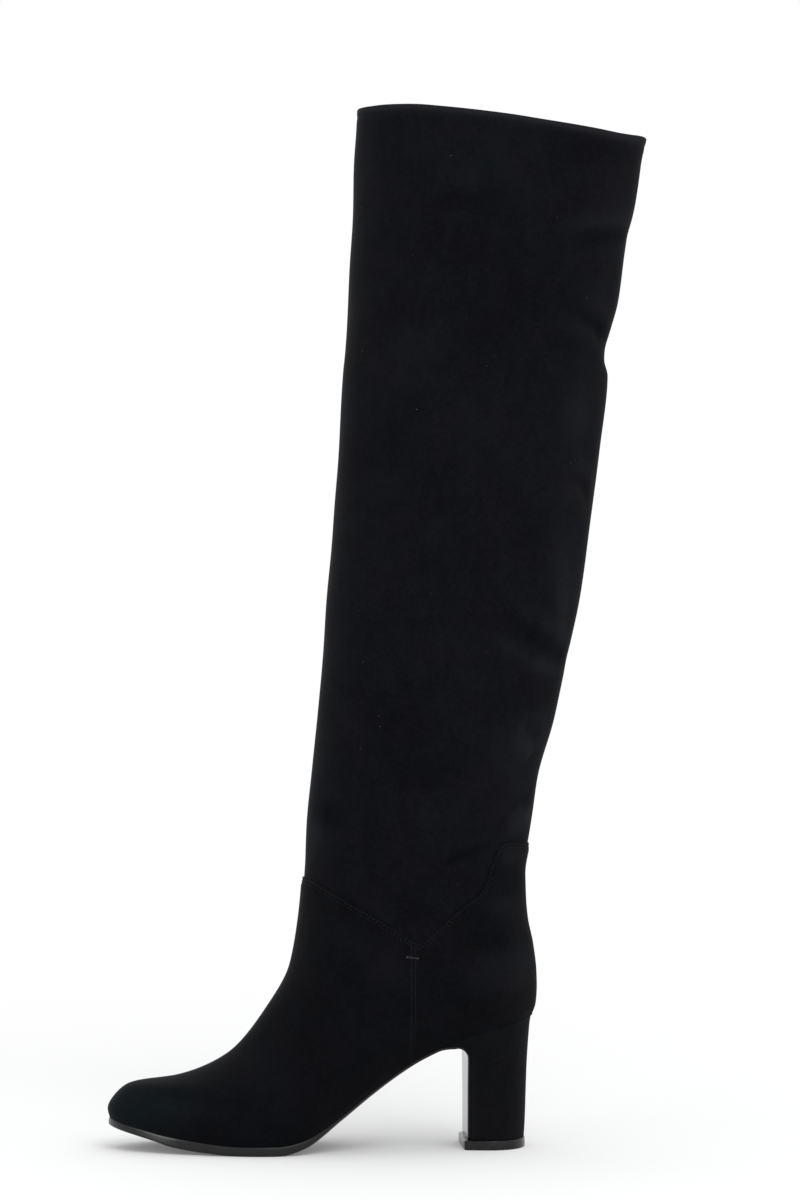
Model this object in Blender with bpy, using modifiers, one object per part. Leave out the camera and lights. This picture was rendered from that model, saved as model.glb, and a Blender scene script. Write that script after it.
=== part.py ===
"""Tall pull-on boot with a block heel: upper, shaft, outsole, heel, top piece and insole.

The foot form (the last) and the leg above it are one surface made of closed loops, from the feather
line, where the upper meets the sole, up to the collar. Each loop runs from a front point to a back
point, and a place on it is named by an angle, 0 in front and 180 behind. The upper is a wall outside
that surface and the shaft a wall inside it, so that the shaft's lower end is tucked behind the upper's
top line. Sizes are in millimetres and are turned into metres when a mesh is made. The toe points to
-X, the outer side of this left boot to -Y, and the floor is z = 0.
"""

import math
from collections import namedtuple

import bmesh
import bpy
import numpy as np

MM = 0.001
ASSEMBLY = "tall_boot"
OUTER, INNER = -1, 1

Height = namedtuple("Height", "x z")
Swing = namedtuple("Swing", "x y")
Edge = namedtuple("Edge", "angle z")
FootLoop = namedtuple("FootLoop", "front_x front_z back_x back_z level swing "
                                  "tip_r toe ball instep waist seat heel back_r")
LegLoop = namedtuple("LegLoop", "front_x front_z back_x back_z half")
SoleRow = namedtuple("SoleRow", "x thickness margin chamfer edge_share")
FlapRow = namedtuple("FlapRow", "z half thickness")
HeelLoop = namedtuple("HeelLoop", "front_z turn back_x back_z breast_half half seat")
Finish = namedtuple("Finish", "red green blue roughness")

# Clearance between pieces that meet, and the two walls
GAP = 0.3
UPPER_WALL = 1.4
SHAFT_WALL = 1.6

# How far the shaft reaches down behind the upper's top line, and the upper's lower rim above the sole
LAP = 9.0
RIM_LIFT = 0.7

# Underside of the last, seen from the side: toe spring, flat tread, arch and heel seat
FEATHER = (
    Height(-149.0, 18.0),
    Height(-131.0, 13.7),
    Height(-115.0, 10.1),
    Height(-99.0, 7.5),
    Height(-84.0, 5.3),
    Height(-52.0, 5.3),
    Height(-44.0, 7.0),
    Height(-33.0, 12.6),
    Height(-22.0, 20.2),
    Height(-6.0, 33.0),
    Height(11.0, 45.0),
    Height(22.0, 51.6),
    Height(33.0, 56.6),
    Height(54.0, 64.6),
    Height(70.0, 69.3),
    Height(86.0, 73.3),
)

# Sideways swing of the foot's middle line: the waist bends outward, the toe inward
SWING = (
    Swing(-148.0, 5.0),
    Swing(-118.0, 4.0),
    Swing(-75.0, 0.5),
    Swing(-45.0, -2.4),
    Swing(-10.0, -3.4),
    Swing(20.0, -2.4),
    Swing(55.0, 0.0),
    Swing(90.0, 0.0),
)

# Where along a loop of the foot its end radii and half widths are given
WIDTH_ANGLES = (0.0, 40.0, 70.0, 95.0, 110.0, 128.0, 145.0, 180.0)

# Loops of the foot: front point, back point, how level the loop lies, how much of the swing it takes,
# end radius at the tip, half widths, end radius at the back
FOOT = (
    FootLoop(-145.8, 17.4, 84.6, 74.3, 0.0, 1.0, 25.0, 28.2, 39.0, 27.5, 22.6, 24.8, 27.2, 26.0),
    FootLoop(-146.8, 21.8, 86.3, 79.0, 0.0, 1.0, 26.0, 30.2, 40.8, 31.0, 26.5, 27.6, 28.8, 27.0),
    FootLoop(-143.0, 28.6, 86.9, 83.5, 0.0, 1.0, 24.0, 29.4, 41.2, 33.2, 30.0, 30.0, 30.2, 28.0),
    FootLoop(-135.6, 34.2, 87.1, 88.5, 0.0, 1.0, 22.0, 26.0, 40.6, 35.0, 32.6, 31.8, 31.0, 28.0),
    FootLoop(-109.8, 38.4, 86.9, 97.0, 0.0, 0.9, 18.0, 30.2, 39.6, 37.0, 35.6, 34.0, 31.6, 28.0),
    FootLoop(-82.5, 50.2, 85.2, 111.7, 0.0, 0.7, 20.0, 28.6, 36.4, 38.2, 37.0, 34.4, 30.4, 26.0),
    FootLoop(-60.0, 76.4, 82.2, 125.5, 0.25, 0.4, 20.0, 25.0, 36.2, 39.6, 38.5, 34.6, 28.0, 23.0),
    FootLoop(-46.6, 101.8, 80.9, 136.6, 0.6, 0.15, 21.0, 26.0, 37.6, 40.8, 39.2, 33.8, 25.4, 22.5),
    FootLoop(-41.6, 133.0, 80.4, 151.0, 1.0, 0.0, 24.0, 26.8, 39.0, 41.4, 39.2, 32.8, 23.9, 25.0),
)

# Loops of the leg up to the collar: front point, back point and half width of a plain oval
LEG = (
    LegLoop(-39.6, 160.0, 83.7, 169.8, 42.0),
    LegLoop(-38.3, 182.0, 86.0, 184.0, 42.8),
    LegLoop(-36.2, 204.0, 88.9, 204.0, 44.0),
    LegLoop(-33.5, 236.0, 98.0, 236.0, 45.6),
    LegLoop(-30.4, 269.0, 104.9, 269.0, 47.0),
    LegLoop(-27.3, 304.0, 112.4, 303.0, 48.2),
    LegLoop(-24.2, 345.0, 118.0, 344.0, 49.2),
    LegLoop(-21.1, 387.0, 123.4, 385.0, 50.0),
    LegLoop(-18.9, 427.0, 127.9, 426.0, 50.4),
    LegLoop(-17.6, 440.0, 125.9, 435.2, 50.4),
    LegLoop(-15.5, 474.0, 133.8, 468.0, 50.8),
    LegLoop(-13.6, 510.0, 138.4, 501.0, 51.0),
    LegLoop(-13.0, 538.0, 143.4, 522.0, 50.6),
    LegLoop(-10.8, 573.0, 148.5, 557.4, 50.0),
)
LEG_END_SHARPNESS = 0.97

# The collar's edge rises a little on the sides, more in front than behind, and fades out below
COLLAR_CROWN = 0.8
COLLAR_TILT = 1.3
COLLAR_REACH = 60.0

# Top line of the upper: a V on each side, a low tongue in front and a raised tab behind
TOP_LINE = (
    Edge(0.0, 147.9),
    Edge(22.0, 146.3),
    Edge(34.5, 143.0),
    Edge(50.0, 136.0),
    Edge(63.5, 129.3),
    Edge(77.0, 121.8),
    Edge(87.0, 116.6),
    Edge(94.6, 113.3),
    Edge(98.0, 115.2),
    Edge(102.5, 120.6),
    Edge(108.0, 126.9),
    Edge(116.0, 132.7),
    Edge(124.0, 137.5),
    Edge(128.5, 144.5),
    Edge(132.0, 159.0),
    Edge(136.8, 165.8),
    Edge(144.0, 166.9),
    Edge(161.0, 166.8),
    Edge(180.0, 166.7),
)

# Grid of the two shells
SIDE_STEPS = 30
UPPER_ROWS = 16
UPPER_ROW_BIAS = 1.35
SHAFT_ROWS = 22

# Outsole along the foot: thickness, how far its edge stands outside the last, width of the rounded
# lower edge, and the share of the thickness that stays upright above it
SOLE = (
    SoleRow(-150.0, 4.0, 1.6, 0.7, 0.55),
    SoleRow(-110.0, 4.8, 1.6, 0.7, 0.55),
    SoleRow(-88.0, 5.0, 1.6, 0.7, 0.55),
    SoleRow(-52.0, 5.0, 1.6, 0.7, 0.55),
    SoleRow(-38.0, 4.2, 1.2, 2.8, 0.4),
    SoleRow(-22.0, 3.0, 0.6, 5.0, 0.2),
    SoleRow(0.0, 2.6, 0.0, 5.0, 0.2),
    SoleRow(24.0, 2.0, -0.6, 3.0, 0.2),
    SoleRow(40.0, 1.2, -1.4, 1.0, 0.2),
)
SOLE_FRONT_STEPS = 21
SOLE_LAST_ANGLE = 122.0
RUNG_STEP = SOLE_LAST_ANGLE / SOLE_FRONT_STEPS
CHAMFER_MAX_SHARE = 0.5
WAIST_SHARES = (0.4, 0.75)
WAIST_CHAMFER = 1.0

# The outsole leaves the last ahead of the heel, bends down and ends as a flap on the heel breast
FLAP_FACE_X = 49.7
FLAP_BEND_R = 6.6
FLAP_BEND_Z = 50.0
FLAP_BEND_X = FLAP_FACE_X - FLAP_BEND_R
FLAP_BEND_STEPS = 6
FLAP = (
    FlapRow(5.3, 18.4, 0.9),
    FlapRow(30.0, 18.8, 0.9),
    FlapRow(FLAP_BEND_Z, 20.6, 0.9),
)
FLAP_CHAMFER = 0.5
FLAP_EDGE_SHARE = 0.2

# Heel block: height of each loop's front point and its turn around the flap's bend, back point, half
# width at the breast and at the widest place, and how much the loop follows the slope of the heel seat
HEEL = (
    HeelLoop(5.3, 0.0, 81.4, 5.3, 20.0, 22.2, 0.0),
    HeelLoop(16.0, 0.0, 82.0, 16.0, 20.1, 22.4, 0.0),
    HeelLoop(30.0, 0.0, 82.5, 32.0, 20.5, 22.8, 0.0),
    HeelLoop(42.0, 0.0, 83.1, 48.0, 21.4, 23.8, 0.0),
    HeelLoop(FLAP_BEND_Z, 0.0, 84.0, 58.6, 22.6, 25.2, 0.2),
    HeelLoop(FLAP_BEND_Z, 30.0, 84.6, 64.2, 23.7, 26.5, 0.5),
    HeelLoop(FLAP_BEND_Z, 60.0, 85.2, 69.0, 24.9, 27.9, 0.8),
    HeelLoop(FLAP_BEND_Z, 90.0, 85.6, 72.4, 25.9, 28.7, 1.0),
)
HEEL_BEND_R = FLAP_BEND_R + GAP
HEEL_WIDEST_X = 62.0
HEEL_CORNER_R = 1.6
HEEL_CORNER_STEPS = 3
HEEL_SIDE_STEPS = 3
HEEL_BACK_STEPS = 9
HEEL_LIP_X = 34.5

# Rubber top piece, a little proud of the heel
TOP_PIECE_HIGH = 5.0
TOP_PIECE_PROUD = 0.5
TOP_PIECE_FRONT_X = 47.4
TOP_PIECE_CHAMFER = 0.5

INSOLE_THICK = 2.4
INSOLE_EDGE = 0.15
INSOLE_RUNGS = 30

# Linear colours and roughness
SUEDE = Finish(0.0068, 0.0072, 0.0090, 0.95)
SUEDE_COVER = Finish(0.0072, 0.0076, 0.0094, 0.93)
SUEDE_SHAFT = Finish(0.0070, 0.0073, 0.0091, 0.95)
SOLE_LEATHER = Finish(0.0200, 0.0212, 0.0230, 0.42)
HEEL_RUBBER = Finish(0.0360, 0.0360, 0.0380, 0.62)
INSOLE_LEATHER = Finish(0.0120, 0.0115, 0.0110, 0.60)

# Halvings when a place is searched, and half the distance over which a slope is measured
SEARCH_STEPS = 40
SLOPE_REACH = 0.5


def smooth(knots, values, at, level_ends=False):
    """Curve through the values without overshoot; values may be numbers or rows of numbers.

    Where two neighbouring steps run against each other the curve is level, so a flat stretch of the
    table stays flat. With level_ends the curve also starts and stops level.
    """
    knots = np.asarray(knots, dtype=float)
    values = np.asarray(values, dtype=float)
    at = min(max(at, knots[0]), knots[-1])
    spans = np.diff(knots)
    slopes = (np.diff(values, axis=0).T / spans).T

    def tangent(i):
        """Slope of the curve at a knot."""
        if i == 0 or i == len(knots) - 1:
            edge = slopes[0] if i == 0 else slopes[-1]
            return edge * 0.0 if level_ends else edge
        before, after = slopes[i - 1], slopes[i]
        heavy = 2 * spans[i] + spans[i - 1]
        light = spans[i] + 2 * spans[i - 1]
        same_way = before * after > 0
        safe_before = np.where(same_way, before, 1.0)
        safe_after = np.where(same_way, after, 1.0)
        mean = (heavy + light) / (heavy / safe_before + light / safe_after)
        return np.where(same_way, mean, 0.0)

    i = min(max(int(np.searchsorted(knots, at, side="right")) - 1, 0), len(spans) - 1)
    t = (at - knots[i]) / spans[i]
    start = (1 + 2 * t) * (1 - t) ** 2 * values[i] + t * (1 - t) ** 2 * spans[i] * tangent(i)
    stop = t * t * (3 - 2 * t) * values[i + 1] + t * t * (t - 1) * spans[i] * tangent(i + 1)
    return start + stop


def look_up(table, at):
    """The other columns of a table at a place given in its first column."""
    return smooth([row[0] for row in table], [row[1:] for row in table], at)


def feather_z(x):
    """Height of the last's underside at a place along the foot."""
    return float(look_up(FEATHER, x)[0])


def swing_y(x):
    """Sideways place of the foot's middle line."""
    return float(look_up(SWING, x)[0])


def top_line_z(angle):
    """Height of the upper's top line."""
    return float(look_up(TOP_LINE, angle)[0])


def loop_rows():
    """All loops from feather line to collar as (front_x, front_z, back_x, back_z, level, swing, spread...).

    The spread is the half width divided by the sine of the loop angle, which stays finite at both ends.
    """
    sines = [math.sin(math.radians(angle)) for angle in WIDTH_ANGLES[1:-1]]
    rows = []
    for loop in FOOT:
        halves = (loop.toe, loop.ball, loop.instep, loop.waist, loop.seat, loop.heel)
        half_length = (loop.back_x - loop.front_x) / 2
        spread = [half / sine for half, sine in zip(halves, sines)]
        tip, back = (math.sqrt(radius * half_length) for radius in (loop.tip_r, loop.back_r))
        rows.append([loop.front_x, loop.front_z, loop.back_x, loop.back_z, loop.level, loop.swing,
                     tip, *spread, back])
    for loop in LEG:
        end = loop.half * LEG_END_SHARPNESS
        rows.append([loop.front_x, loop.front_z, loop.back_x, loop.back_z, 1.0, 0.0,
                     end, *[loop.half] * len(sines), end])
    return np.array(rows)


def loop_stations(rows):
    """A running length for each loop: the mean of the way up the front and the way up the back."""
    front = np.hypot(np.diff(rows[:, 0]), np.diff(rows[:, 1]))
    back = np.hypot(np.diff(rows[:, 2]), np.diff(rows[:, 3]))
    return np.concatenate([[0.0], np.cumsum((front + back) / 2)])


LOOPS = loop_rows()
STATIONS = loop_stations(LOOPS)
COLLAR_STATION = STATIONS[-1]


def last_point(angle, station, side):
    """A point of the last and leg: loop angle in degrees, station, and OUTER or INNER side."""
    loop = smooth(STATIONS, LOOPS, station)
    front_x, front_z, back_x, back_z, level, swing = loop[:6]
    turn = math.radians(angle)
    along = (1 - math.cos(turn)) / 2
    x = front_x + (back_x - front_x) * along
    half = math.sin(turn) * float(smooth(WIDTH_ANGLES, loop[6:], angle, level_ends=True))
    rise_front = front_z - feather_z(front_x)
    rise_back = back_z - feather_z(back_x)
    over_sole = feather_z(x) + rise_front + (rise_back - rise_front) * along
    straight = front_z + (back_z - front_z) * along
    crown = COLLAR_CROWN * math.sin(turn) + COLLAR_TILT * math.sin(2 * turn)
    near_collar = max(0.0, 1 - (COLLAR_STATION - station) / COLLAR_REACH)
    z = over_sole + (straight - over_sole) * level + crown * near_collar
    return x, swing * swing_y(x) + side * half, z


def station_at(angle, z):
    """Station where the last reaches a height, on one loop angle."""
    low, high = 0.0, COLLAR_STATION
    for _ in range(SEARCH_STEPS):
        middle = (low + high) / 2
        if last_point(angle, middle, OUTER)[2] < z:
            low = middle
        else:
            high = middle
    return (low + high) / 2


def around():
    """Loop angles and sides once around: front, outer side, back, inner side."""
    step = 180.0 / SIDE_STEPS
    outer = [(i * step, OUTER) for i in range(SIDE_STEPS + 1)]
    inner = [(i * step, INNER) for i in range(SIDE_STEPS - 1, 0, -1)]
    return outer + inner


def ring_faces(rows, columns):
    """Quads of a grid that closes on itself sideways."""
    faces = []
    for j in range(rows):
        for i in range(columns):
            after = (i + 1) % columns
            faces.append((j * columns + i, j * columns + after,
                          (j + 1) * columns + after, (j + 1) * columns + i))
    return faces


def make_object(name, points, faces, finish):
    """A named object from points in millimetres, with its own material."""
    mesh = bpy.data.meshes.new(name)
    mesh.from_pydata([tuple(value * MM for value in point) for point in points], [], faces)
    mesh.validate()
    obj = bpy.data.objects.new(name, mesh)
    bpy.data.collections[ASSEMBLY].objects.link(obj)
    material = bpy.data.materials.new(name)
    material.use_nodes = True
    shader = material.node_tree.nodes["Principled BSDF"]
    shader.inputs["Base Color"].default_value = (finish.red, finish.green, finish.blue, 1.0)
    shader.inputs["Roughness"].default_value = finish.roughness
    shader.inputs["Metallic"].default_value = 0.0
    mesh.materials.append(material)
    return obj


def add_wall(obj, thickness, outside):
    """Solidify an open surface; its outer face stands the given distance outside the surface."""
    wall = obj.modifiers.new("Wall", "SOLIDIFY")
    wall.thickness = thickness * MM
    wall.offset = 2 * outside / thickness - 1
    wall.use_even_offset = True
    wall.use_quality_normals = True
    wall.use_rim = True


def make_upper():
    """Foot part: the last from just above the feather line to the V-shaped top line."""
    places = around()
    tops = {angle: station_at(angle, top_line_z(angle)) for angle, _ in places}
    foots = {angle: station_at(angle, last_point(angle, 0.0, OUTER)[2] + RIM_LIFT) for angle, _ in places}
    points = []
    for j in range(UPPER_ROWS + 1):
        share = (j / UPPER_ROWS) ** UPPER_ROW_BIAS
        for angle, side in places:
            points.append(last_point(angle, foots[angle] + (tops[angle] - foots[angle]) * share, side))
    obj = make_object("upper", points, ring_faces(UPPER_ROWS, len(places)), SUEDE)
    add_wall(obj, UPPER_WALL, GAP + UPPER_WALL)


def make_shaft():
    """Leg tube, from behind the upper's top line to the collar."""
    places = around()
    tops = {angle: station_at(angle, top_line_z(angle)) for angle, _ in places}
    lows = {angle: station_at(angle, top_line_z(angle) - LAP) for angle, _ in places}
    points = [last_point(angle, lows[angle], side) for angle, side in places]
    for j in range(SHAFT_ROWS):
        share = j / (SHAFT_ROWS - 1)
        for angle, side in places:
            points.append(last_point(angle, tops[angle] + (COLLAR_STATION - tops[angle]) * share, side))
    obj = make_object("shaft", points, ring_faces(SHAFT_ROWS, len(places)), SUEDE_SHAFT)
    add_wall(obj, SHAFT_WALL, 0.0)


def make_rail(name, sections, finish):
    """A closed solid through sections that all have the same number of points."""
    points = [point for section in sections for point in section]
    obj = make_object(name, points, ring_faces(len(sections) - 1, len(sections[0])), finish)
    shape = bmesh.new()
    shape.from_mesh(obj.data)
    bmesh.ops.holes_fill(shape, edges=[edge for edge in shape.edges if edge.is_boundary], sides=0)
    bmesh.ops.recalc_face_normals(shape, faces=shape.faces)
    shape.to_mesh(obj.data)
    shape.free()


def plank_section(top, normal, middle, half, row):
    """Section of a sole: flat on top, upright at its edges, chamfered below.

    top is the section's place and height, normal the direction down through the sole, middle its
    sideways place, and row its thickness, chamfer and edge share.
    """
    thickness, chamfer, edge_share = row
    edge = thickness * edge_share
    corners = ((-half, 0.0), (half, 0.0), (half, edge), (half - chamfer, thickness),
               (-half + chamfer, thickness), (-half, edge))
    return [(top[0] + normal[0] * depth, middle + across, top[1] + normal[1] * depth)
            for across, depth in corners]


def sole_place(angle, margin):
    """Where a rung of the sole lies along the foot, and its half width, for an edge margin."""
    front_x, _, back_x = LOOPS[0][:3]
    along = (1 - math.cos(math.radians(angle))) / 2
    x = front_x - margin + (back_x - front_x + 2 * margin) * along
    spread = float(smooth(WIDTH_ANGLES, LOOPS[0][6:], angle, level_ends=True))
    return x, math.sin(math.radians(angle)) * (spread + margin)


def sole_top_z(x):
    """Upper face of the outsole: under the last, then levelling out towards the bend."""
    leave_x = sole_place(SOLE_LAST_ANGLE, 0.0)[0]
    leave_z = feather_z(leave_x)
    share = max(0.0, (x - leave_x) / (FLAP_BEND_X - leave_x))
    slope = (leave_z - feather_z(leave_x - 1.0)) * (FLAP_BEND_X - leave_x)
    level_out = slope * (share - 2 * share ** 2 + share ** 3)
    climb = (FLAP_BEND_Z + FLAP_BEND_R - leave_z + GAP) * share ** 2 * (3 - 2 * share)
    return feather_z(min(x, leave_x)) - GAP + level_out + climb


def down_normal(height, x):
    """Unit vector in X and Z, square to a face of the given height at x and pointing down."""
    slope = (height(x + SLOPE_REACH) - height(x - SLOPE_REACH)) / (2 * SLOPE_REACH)
    length = math.hypot(1.0, slope)
    return slope / length, -1.0 / length


def make_outsole():
    """Sole from toe to waist, bending down into the flap on the heel breast."""
    sections = []
    for i in range(1, SOLE_FRONT_STEPS + 1):
        angle = RUNG_STEP * i
        thickness, margin, chamfer, edge_share = look_up(SOLE, sole_place(angle, 0.0)[0])
        x, half = sole_place(angle, margin)
        row = (thickness, min(chamfer, half * CHAMFER_MAX_SHARE), edge_share)
        sections.append(plank_section((x, sole_top_z(x)), down_normal(sole_top_z, x), swing_y(x), half, row))
    leave_x, waist_half = x, half
    bend = FLAP[-1]
    for share in WAIST_SHARES:
        x = leave_x + (FLAP_BEND_X - leave_x) * share
        half = waist_half + (bend.half - waist_half) * share
        row = (look_up(SOLE, x)[0], WAIST_CHAMFER, FLAP_EDGE_SHARE)
        sections.append(plank_section((x, sole_top_z(x)), down_normal(sole_top_z, x),
                                      swing_y(x) * (1 - share), half, row))
    for i in range(FLAP_BEND_STEPS + 1):
        turn = math.radians(90.0 * i / FLAP_BEND_STEPS)
        normal = (-math.sin(turn), -math.cos(turn))
        top = (FLAP_BEND_X - normal[0] * FLAP_BEND_R, FLAP_BEND_Z - normal[1] * FLAP_BEND_R)
        sections.append(plank_section(top, normal, 0.0, bend.half,
                                      (bend.thickness, FLAP_CHAMFER, FLAP_EDGE_SHARE)))
    for flap in reversed(FLAP[:-1]):
        sections.append(plank_section((FLAP_FACE_X, flap.z), (-1.0, 0.0), 0.0, flap.half,
                                      (flap.thickness, FLAP_CHAMFER, FLAP_EDGE_SHARE)))
    make_rail("outsole", sections, SOLE_LEATHER)


def heel_outline(front_x, back_x, breast_half, half):
    """Plan of the heel: flat breast with round corners, sides that spread, half-oval back."""
    corner_x = front_x + HEEL_CORNER_R
    one_side = []
    for i in range(HEEL_CORNER_STEPS + 1):
        turn = math.radians(90.0 * i / HEEL_CORNER_STEPS)
        one_side.append((corner_x - HEEL_CORNER_R * math.cos(turn),
                         breast_half - HEEL_CORNER_R + HEEL_CORNER_R * math.sin(turn)))
    for i in range(1, HEEL_SIDE_STEPS):
        share = i / HEEL_SIDE_STEPS
        one_side.append((corner_x + (HEEL_WIDEST_X - corner_x) * share,
                         breast_half + (half - breast_half) * math.sin(share * math.pi / 2)))
    for i in range(HEEL_BACK_STEPS):
        turn = math.radians(90.0 * i / HEEL_BACK_STEPS)
        one_side.append((HEEL_WIDEST_X + (back_x - HEEL_WIDEST_X) * math.sin(turn), half * math.cos(turn)))
    outer = [(x, -y) for x, y in one_side]
    inner = list(reversed(one_side))
    return outer + [(back_x, 0.0)] + inner


def make_heel():
    """Block heel from the top piece up to the sloping seat, with a lip that thins out forward."""
    sections = []
    for loop in HEEL:
        turn = math.radians(loop.turn)
        front_x = FLAP_BEND_X + HEEL_BEND_R * math.cos(turn)
        front_z = loop.front_z + HEEL_BEND_R * math.sin(turn)
        section = []
        for x, y in heel_outline(front_x, loop.back_x, loop.breast_half, loop.half):
            share = (x - front_x) / (loop.back_x - front_x)
            chord = front_z + (loop.back_z - front_z) * share
            section.append((x, y, chord + (feather_z(x) - GAP - chord) * loop.seat * share))
        sections.append(section)
    seat = HEEL[-1]
    rim = heel_outline(HEEL_LIP_X, seat.back_x, seat.breast_half, seat.half)
    sections.append([(x, y, feather_z(x) - GAP) for x, y in rim])
    make_rail("heel", sections, SUEDE_COVER)


def make_top_piece():
    """Flat rubber lift, chamfered where it meets the floor."""
    low = HEEL[0]
    proud = TOP_PIECE_PROUD
    sections = []
    for z, grow in ((0.0, proud - TOP_PIECE_CHAMFER), (TOP_PIECE_CHAMFER, proud), (TOP_PIECE_HIGH, proud)):
        plan = heel_outline(TOP_PIECE_FRONT_X - grow, low.back_x + grow,
                            low.breast_half + grow, low.half + grow)
        sections.append([(x, y, z) for x, y in plan])
    make_rail("top_piece", sections, HEEL_RUBBER)


def make_insole():
    """Board inside the upper, on the feather line of the last, with the same rungs as the outsole."""
    sections = []
    for i in range(1, INSOLE_RUNGS + 1):
        x, half = sole_place(RUNG_STEP * i, -INSOLE_EDGE)
        down_x, down_z = down_normal(feather_z, x)
        low, middle = feather_z(x), swing_y(x)
        top_x, top_z = x - down_x * INSOLE_THICK, low - down_z * INSOLE_THICK
        sections.append([(x, middle - half, low), (x, middle + half, low),
                         (top_x, middle + half, top_z), (top_x, middle - half, top_z)])
    make_rail("insole", sections, INSOLE_LEATHER)


def main():
    """Clear the scene and build the six pieces."""
    for obj in list(bpy.data.objects):
        bpy.data.objects.remove(obj, do_unlink=True)
    bpy.context.scene.collection.children.link(bpy.data.collections.new(ASSEMBLY))
    make_upper()
    make_shaft()
    make_outsole()
    make_heel()
    make_top_piece()
    make_insole()


main()
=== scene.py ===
"""Looks of a tall pull-on boot: suede foot and shaft, leather sole, covered heel, thread and studio.

Sizes are in millimetres and are turned into metres when a mesh is made. The toe points to -X, the outer
side of this left boot to -Y, and the floor is z = 0. Foot and leg are one surface of closed loops. A
place on it is given by an angle, 0 at the front of a loop and 180 at its back, by a station, which is
the length run up the leg from the feather line, and by a side.
"""

import logging
import math
from dataclasses import dataclass
from enum import Enum
from typing import Callable, NamedTuple, Sequence

import bmesh
import bpy
import numpy as np
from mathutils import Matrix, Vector


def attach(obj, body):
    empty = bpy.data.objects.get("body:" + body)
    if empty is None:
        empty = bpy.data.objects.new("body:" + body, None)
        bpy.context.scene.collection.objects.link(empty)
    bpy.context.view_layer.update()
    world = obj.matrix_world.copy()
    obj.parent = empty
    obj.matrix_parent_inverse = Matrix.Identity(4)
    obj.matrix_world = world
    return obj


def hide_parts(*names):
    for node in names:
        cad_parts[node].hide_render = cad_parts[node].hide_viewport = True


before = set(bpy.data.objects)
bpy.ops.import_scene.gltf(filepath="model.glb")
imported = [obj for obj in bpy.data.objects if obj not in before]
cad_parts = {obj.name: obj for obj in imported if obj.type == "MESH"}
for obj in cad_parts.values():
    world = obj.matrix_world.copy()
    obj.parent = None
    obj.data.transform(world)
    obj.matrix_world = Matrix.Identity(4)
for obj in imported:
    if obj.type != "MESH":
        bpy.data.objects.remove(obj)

LOG = logging.getLogger("tall_boot")
MM = 0.001
BODY = "root"
BISECTIONS = 36
WELD = 0.004
BACK_PRESSED = (135.0, 166.0)
CLOUDY = (0.3, 0.7)
WHITE = (1.0, 1.0, 1.0)
Grid = np.ndarray
Socket = bpy.types.NodeSocket
Colour = tuple[float, float, float]
Spot = tuple[float, float, float]
Span = tuple[float, float]
Table = tuple[tuple[float, float], ...]


class Side(Enum):
    """The two long sides of the boot, by the sign of Y."""

    OUTER = -1.0
    INNER = 1.0


class Slot(Enum):
    """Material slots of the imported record."""

    UPPER = "upper_suede"
    SHAFT = "shaft_suede"
    SOLE = "sole_leather"
    HEEL = "heel_suede"
    RUBBER = "heel_rubber"
    INSOLE = "insole_leather"


def knot_slopes(spans: np.ndarray, values: np.ndarray, level_ends: bool) -> np.ndarray:
    """Slopes at the knots of a curve that never overshoots its values.

    Args:
        spans: Lengths between neighbouring knots.
        values: One entry per knot, each a number or a row of numbers.
        level_ends: Whether the curve starts and stops level.

    Returns:
        One slope per knot, shaped like values.
    """
    wide = spans.reshape((-1,) + (1,) * (values.ndim - 1))
    slopes = np.diff(values, axis=0) / wide
    before, after = slopes[:-1], slopes[1:]
    heavy, light = 2 * wide[1:] + wide[:-1], wide[1:] + 2 * wide[:-1]
    same_way = before * after > 0
    mean = (heavy + light) / (heavy / np.where(same_way, before, 1.0) + light / np.where(same_way, after, 1.0))
    ends = 0.0 if level_ends else 1.0
    return np.concatenate([slopes[:1] * ends, np.where(same_way, mean, 0.0), slopes[-1:] * ends])


def span_before(knots: np.ndarray, at: np.ndarray) -> np.ndarray:
    """Number of the span between knots in which each place lies."""
    return np.clip(np.searchsorted(knots, at, side="right") - 1, 0, len(knots) - 2)


def between(t: np.ndarray, span: np.ndarray, values: Sequence[np.ndarray], slopes: Sequence[np.ndarray]) -> np.ndarray:
    """Smooth run from one knot to the next.

    Args:
        t: Shares of the way, 0 to 1.
        span: Lengths of the way.
        values: Values at both knots.
        slopes: Slopes at both knots.

    Returns:
        Values on the way.
    """
    start = (1 + 2 * t) * (1 - t) ** 2 * values[0] + t * (1 - t) ** 2 * span * slopes[0]
    stop = t * t * (3 - 2 * t) * values[1] + t * t * (t - 1) * span * slopes[1]
    return start + stop


class SmoothCurve:
    """Curve through values at knots, without overshoot."""

    def __init__(self, knots: Sequence[float], values: Sequence, level_ends: bool = False) -> None:
        """Keep the knots and work out the slopes there.

        Args:
            knots: Rising places along the curve.
            values: A number or a row of numbers for each knot.
            level_ends: Whether the curve starts and stops level.
        """
        self.knots = np.asarray(knots, dtype=float)
        self.values = np.asarray(values, dtype=float)
        self.spans = np.diff(self.knots)
        self.slopes = knot_slopes(self.spans, self.values, level_ends)

    def __call__(self, at: np.ndarray | float) -> np.ndarray:
        """Values at one or many places, held constant beyond the ends."""
        at = np.clip(np.asarray(at, dtype=float), self.knots[0], self.knots[-1])
        i = span_before(self.knots, at)
        span = self.spans[i]
        t = (at - self.knots[i]) / span
        if self.values.ndim > 1:
            t, span = t[..., None], span[..., None]
        return between(t, span, (self.values[i], self.values[i + 1]), (self.slopes[i], self.slopes[i + 1]))


def smooth_step(low: float, high: float, at: np.ndarray) -> np.ndarray:
    """Rise from 0 at low to 1 at high, level at both."""
    t = np.clip((at - low) / (high - low), 0.0, 1.0)
    return t * t * (3 - 2 * t)


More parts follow.
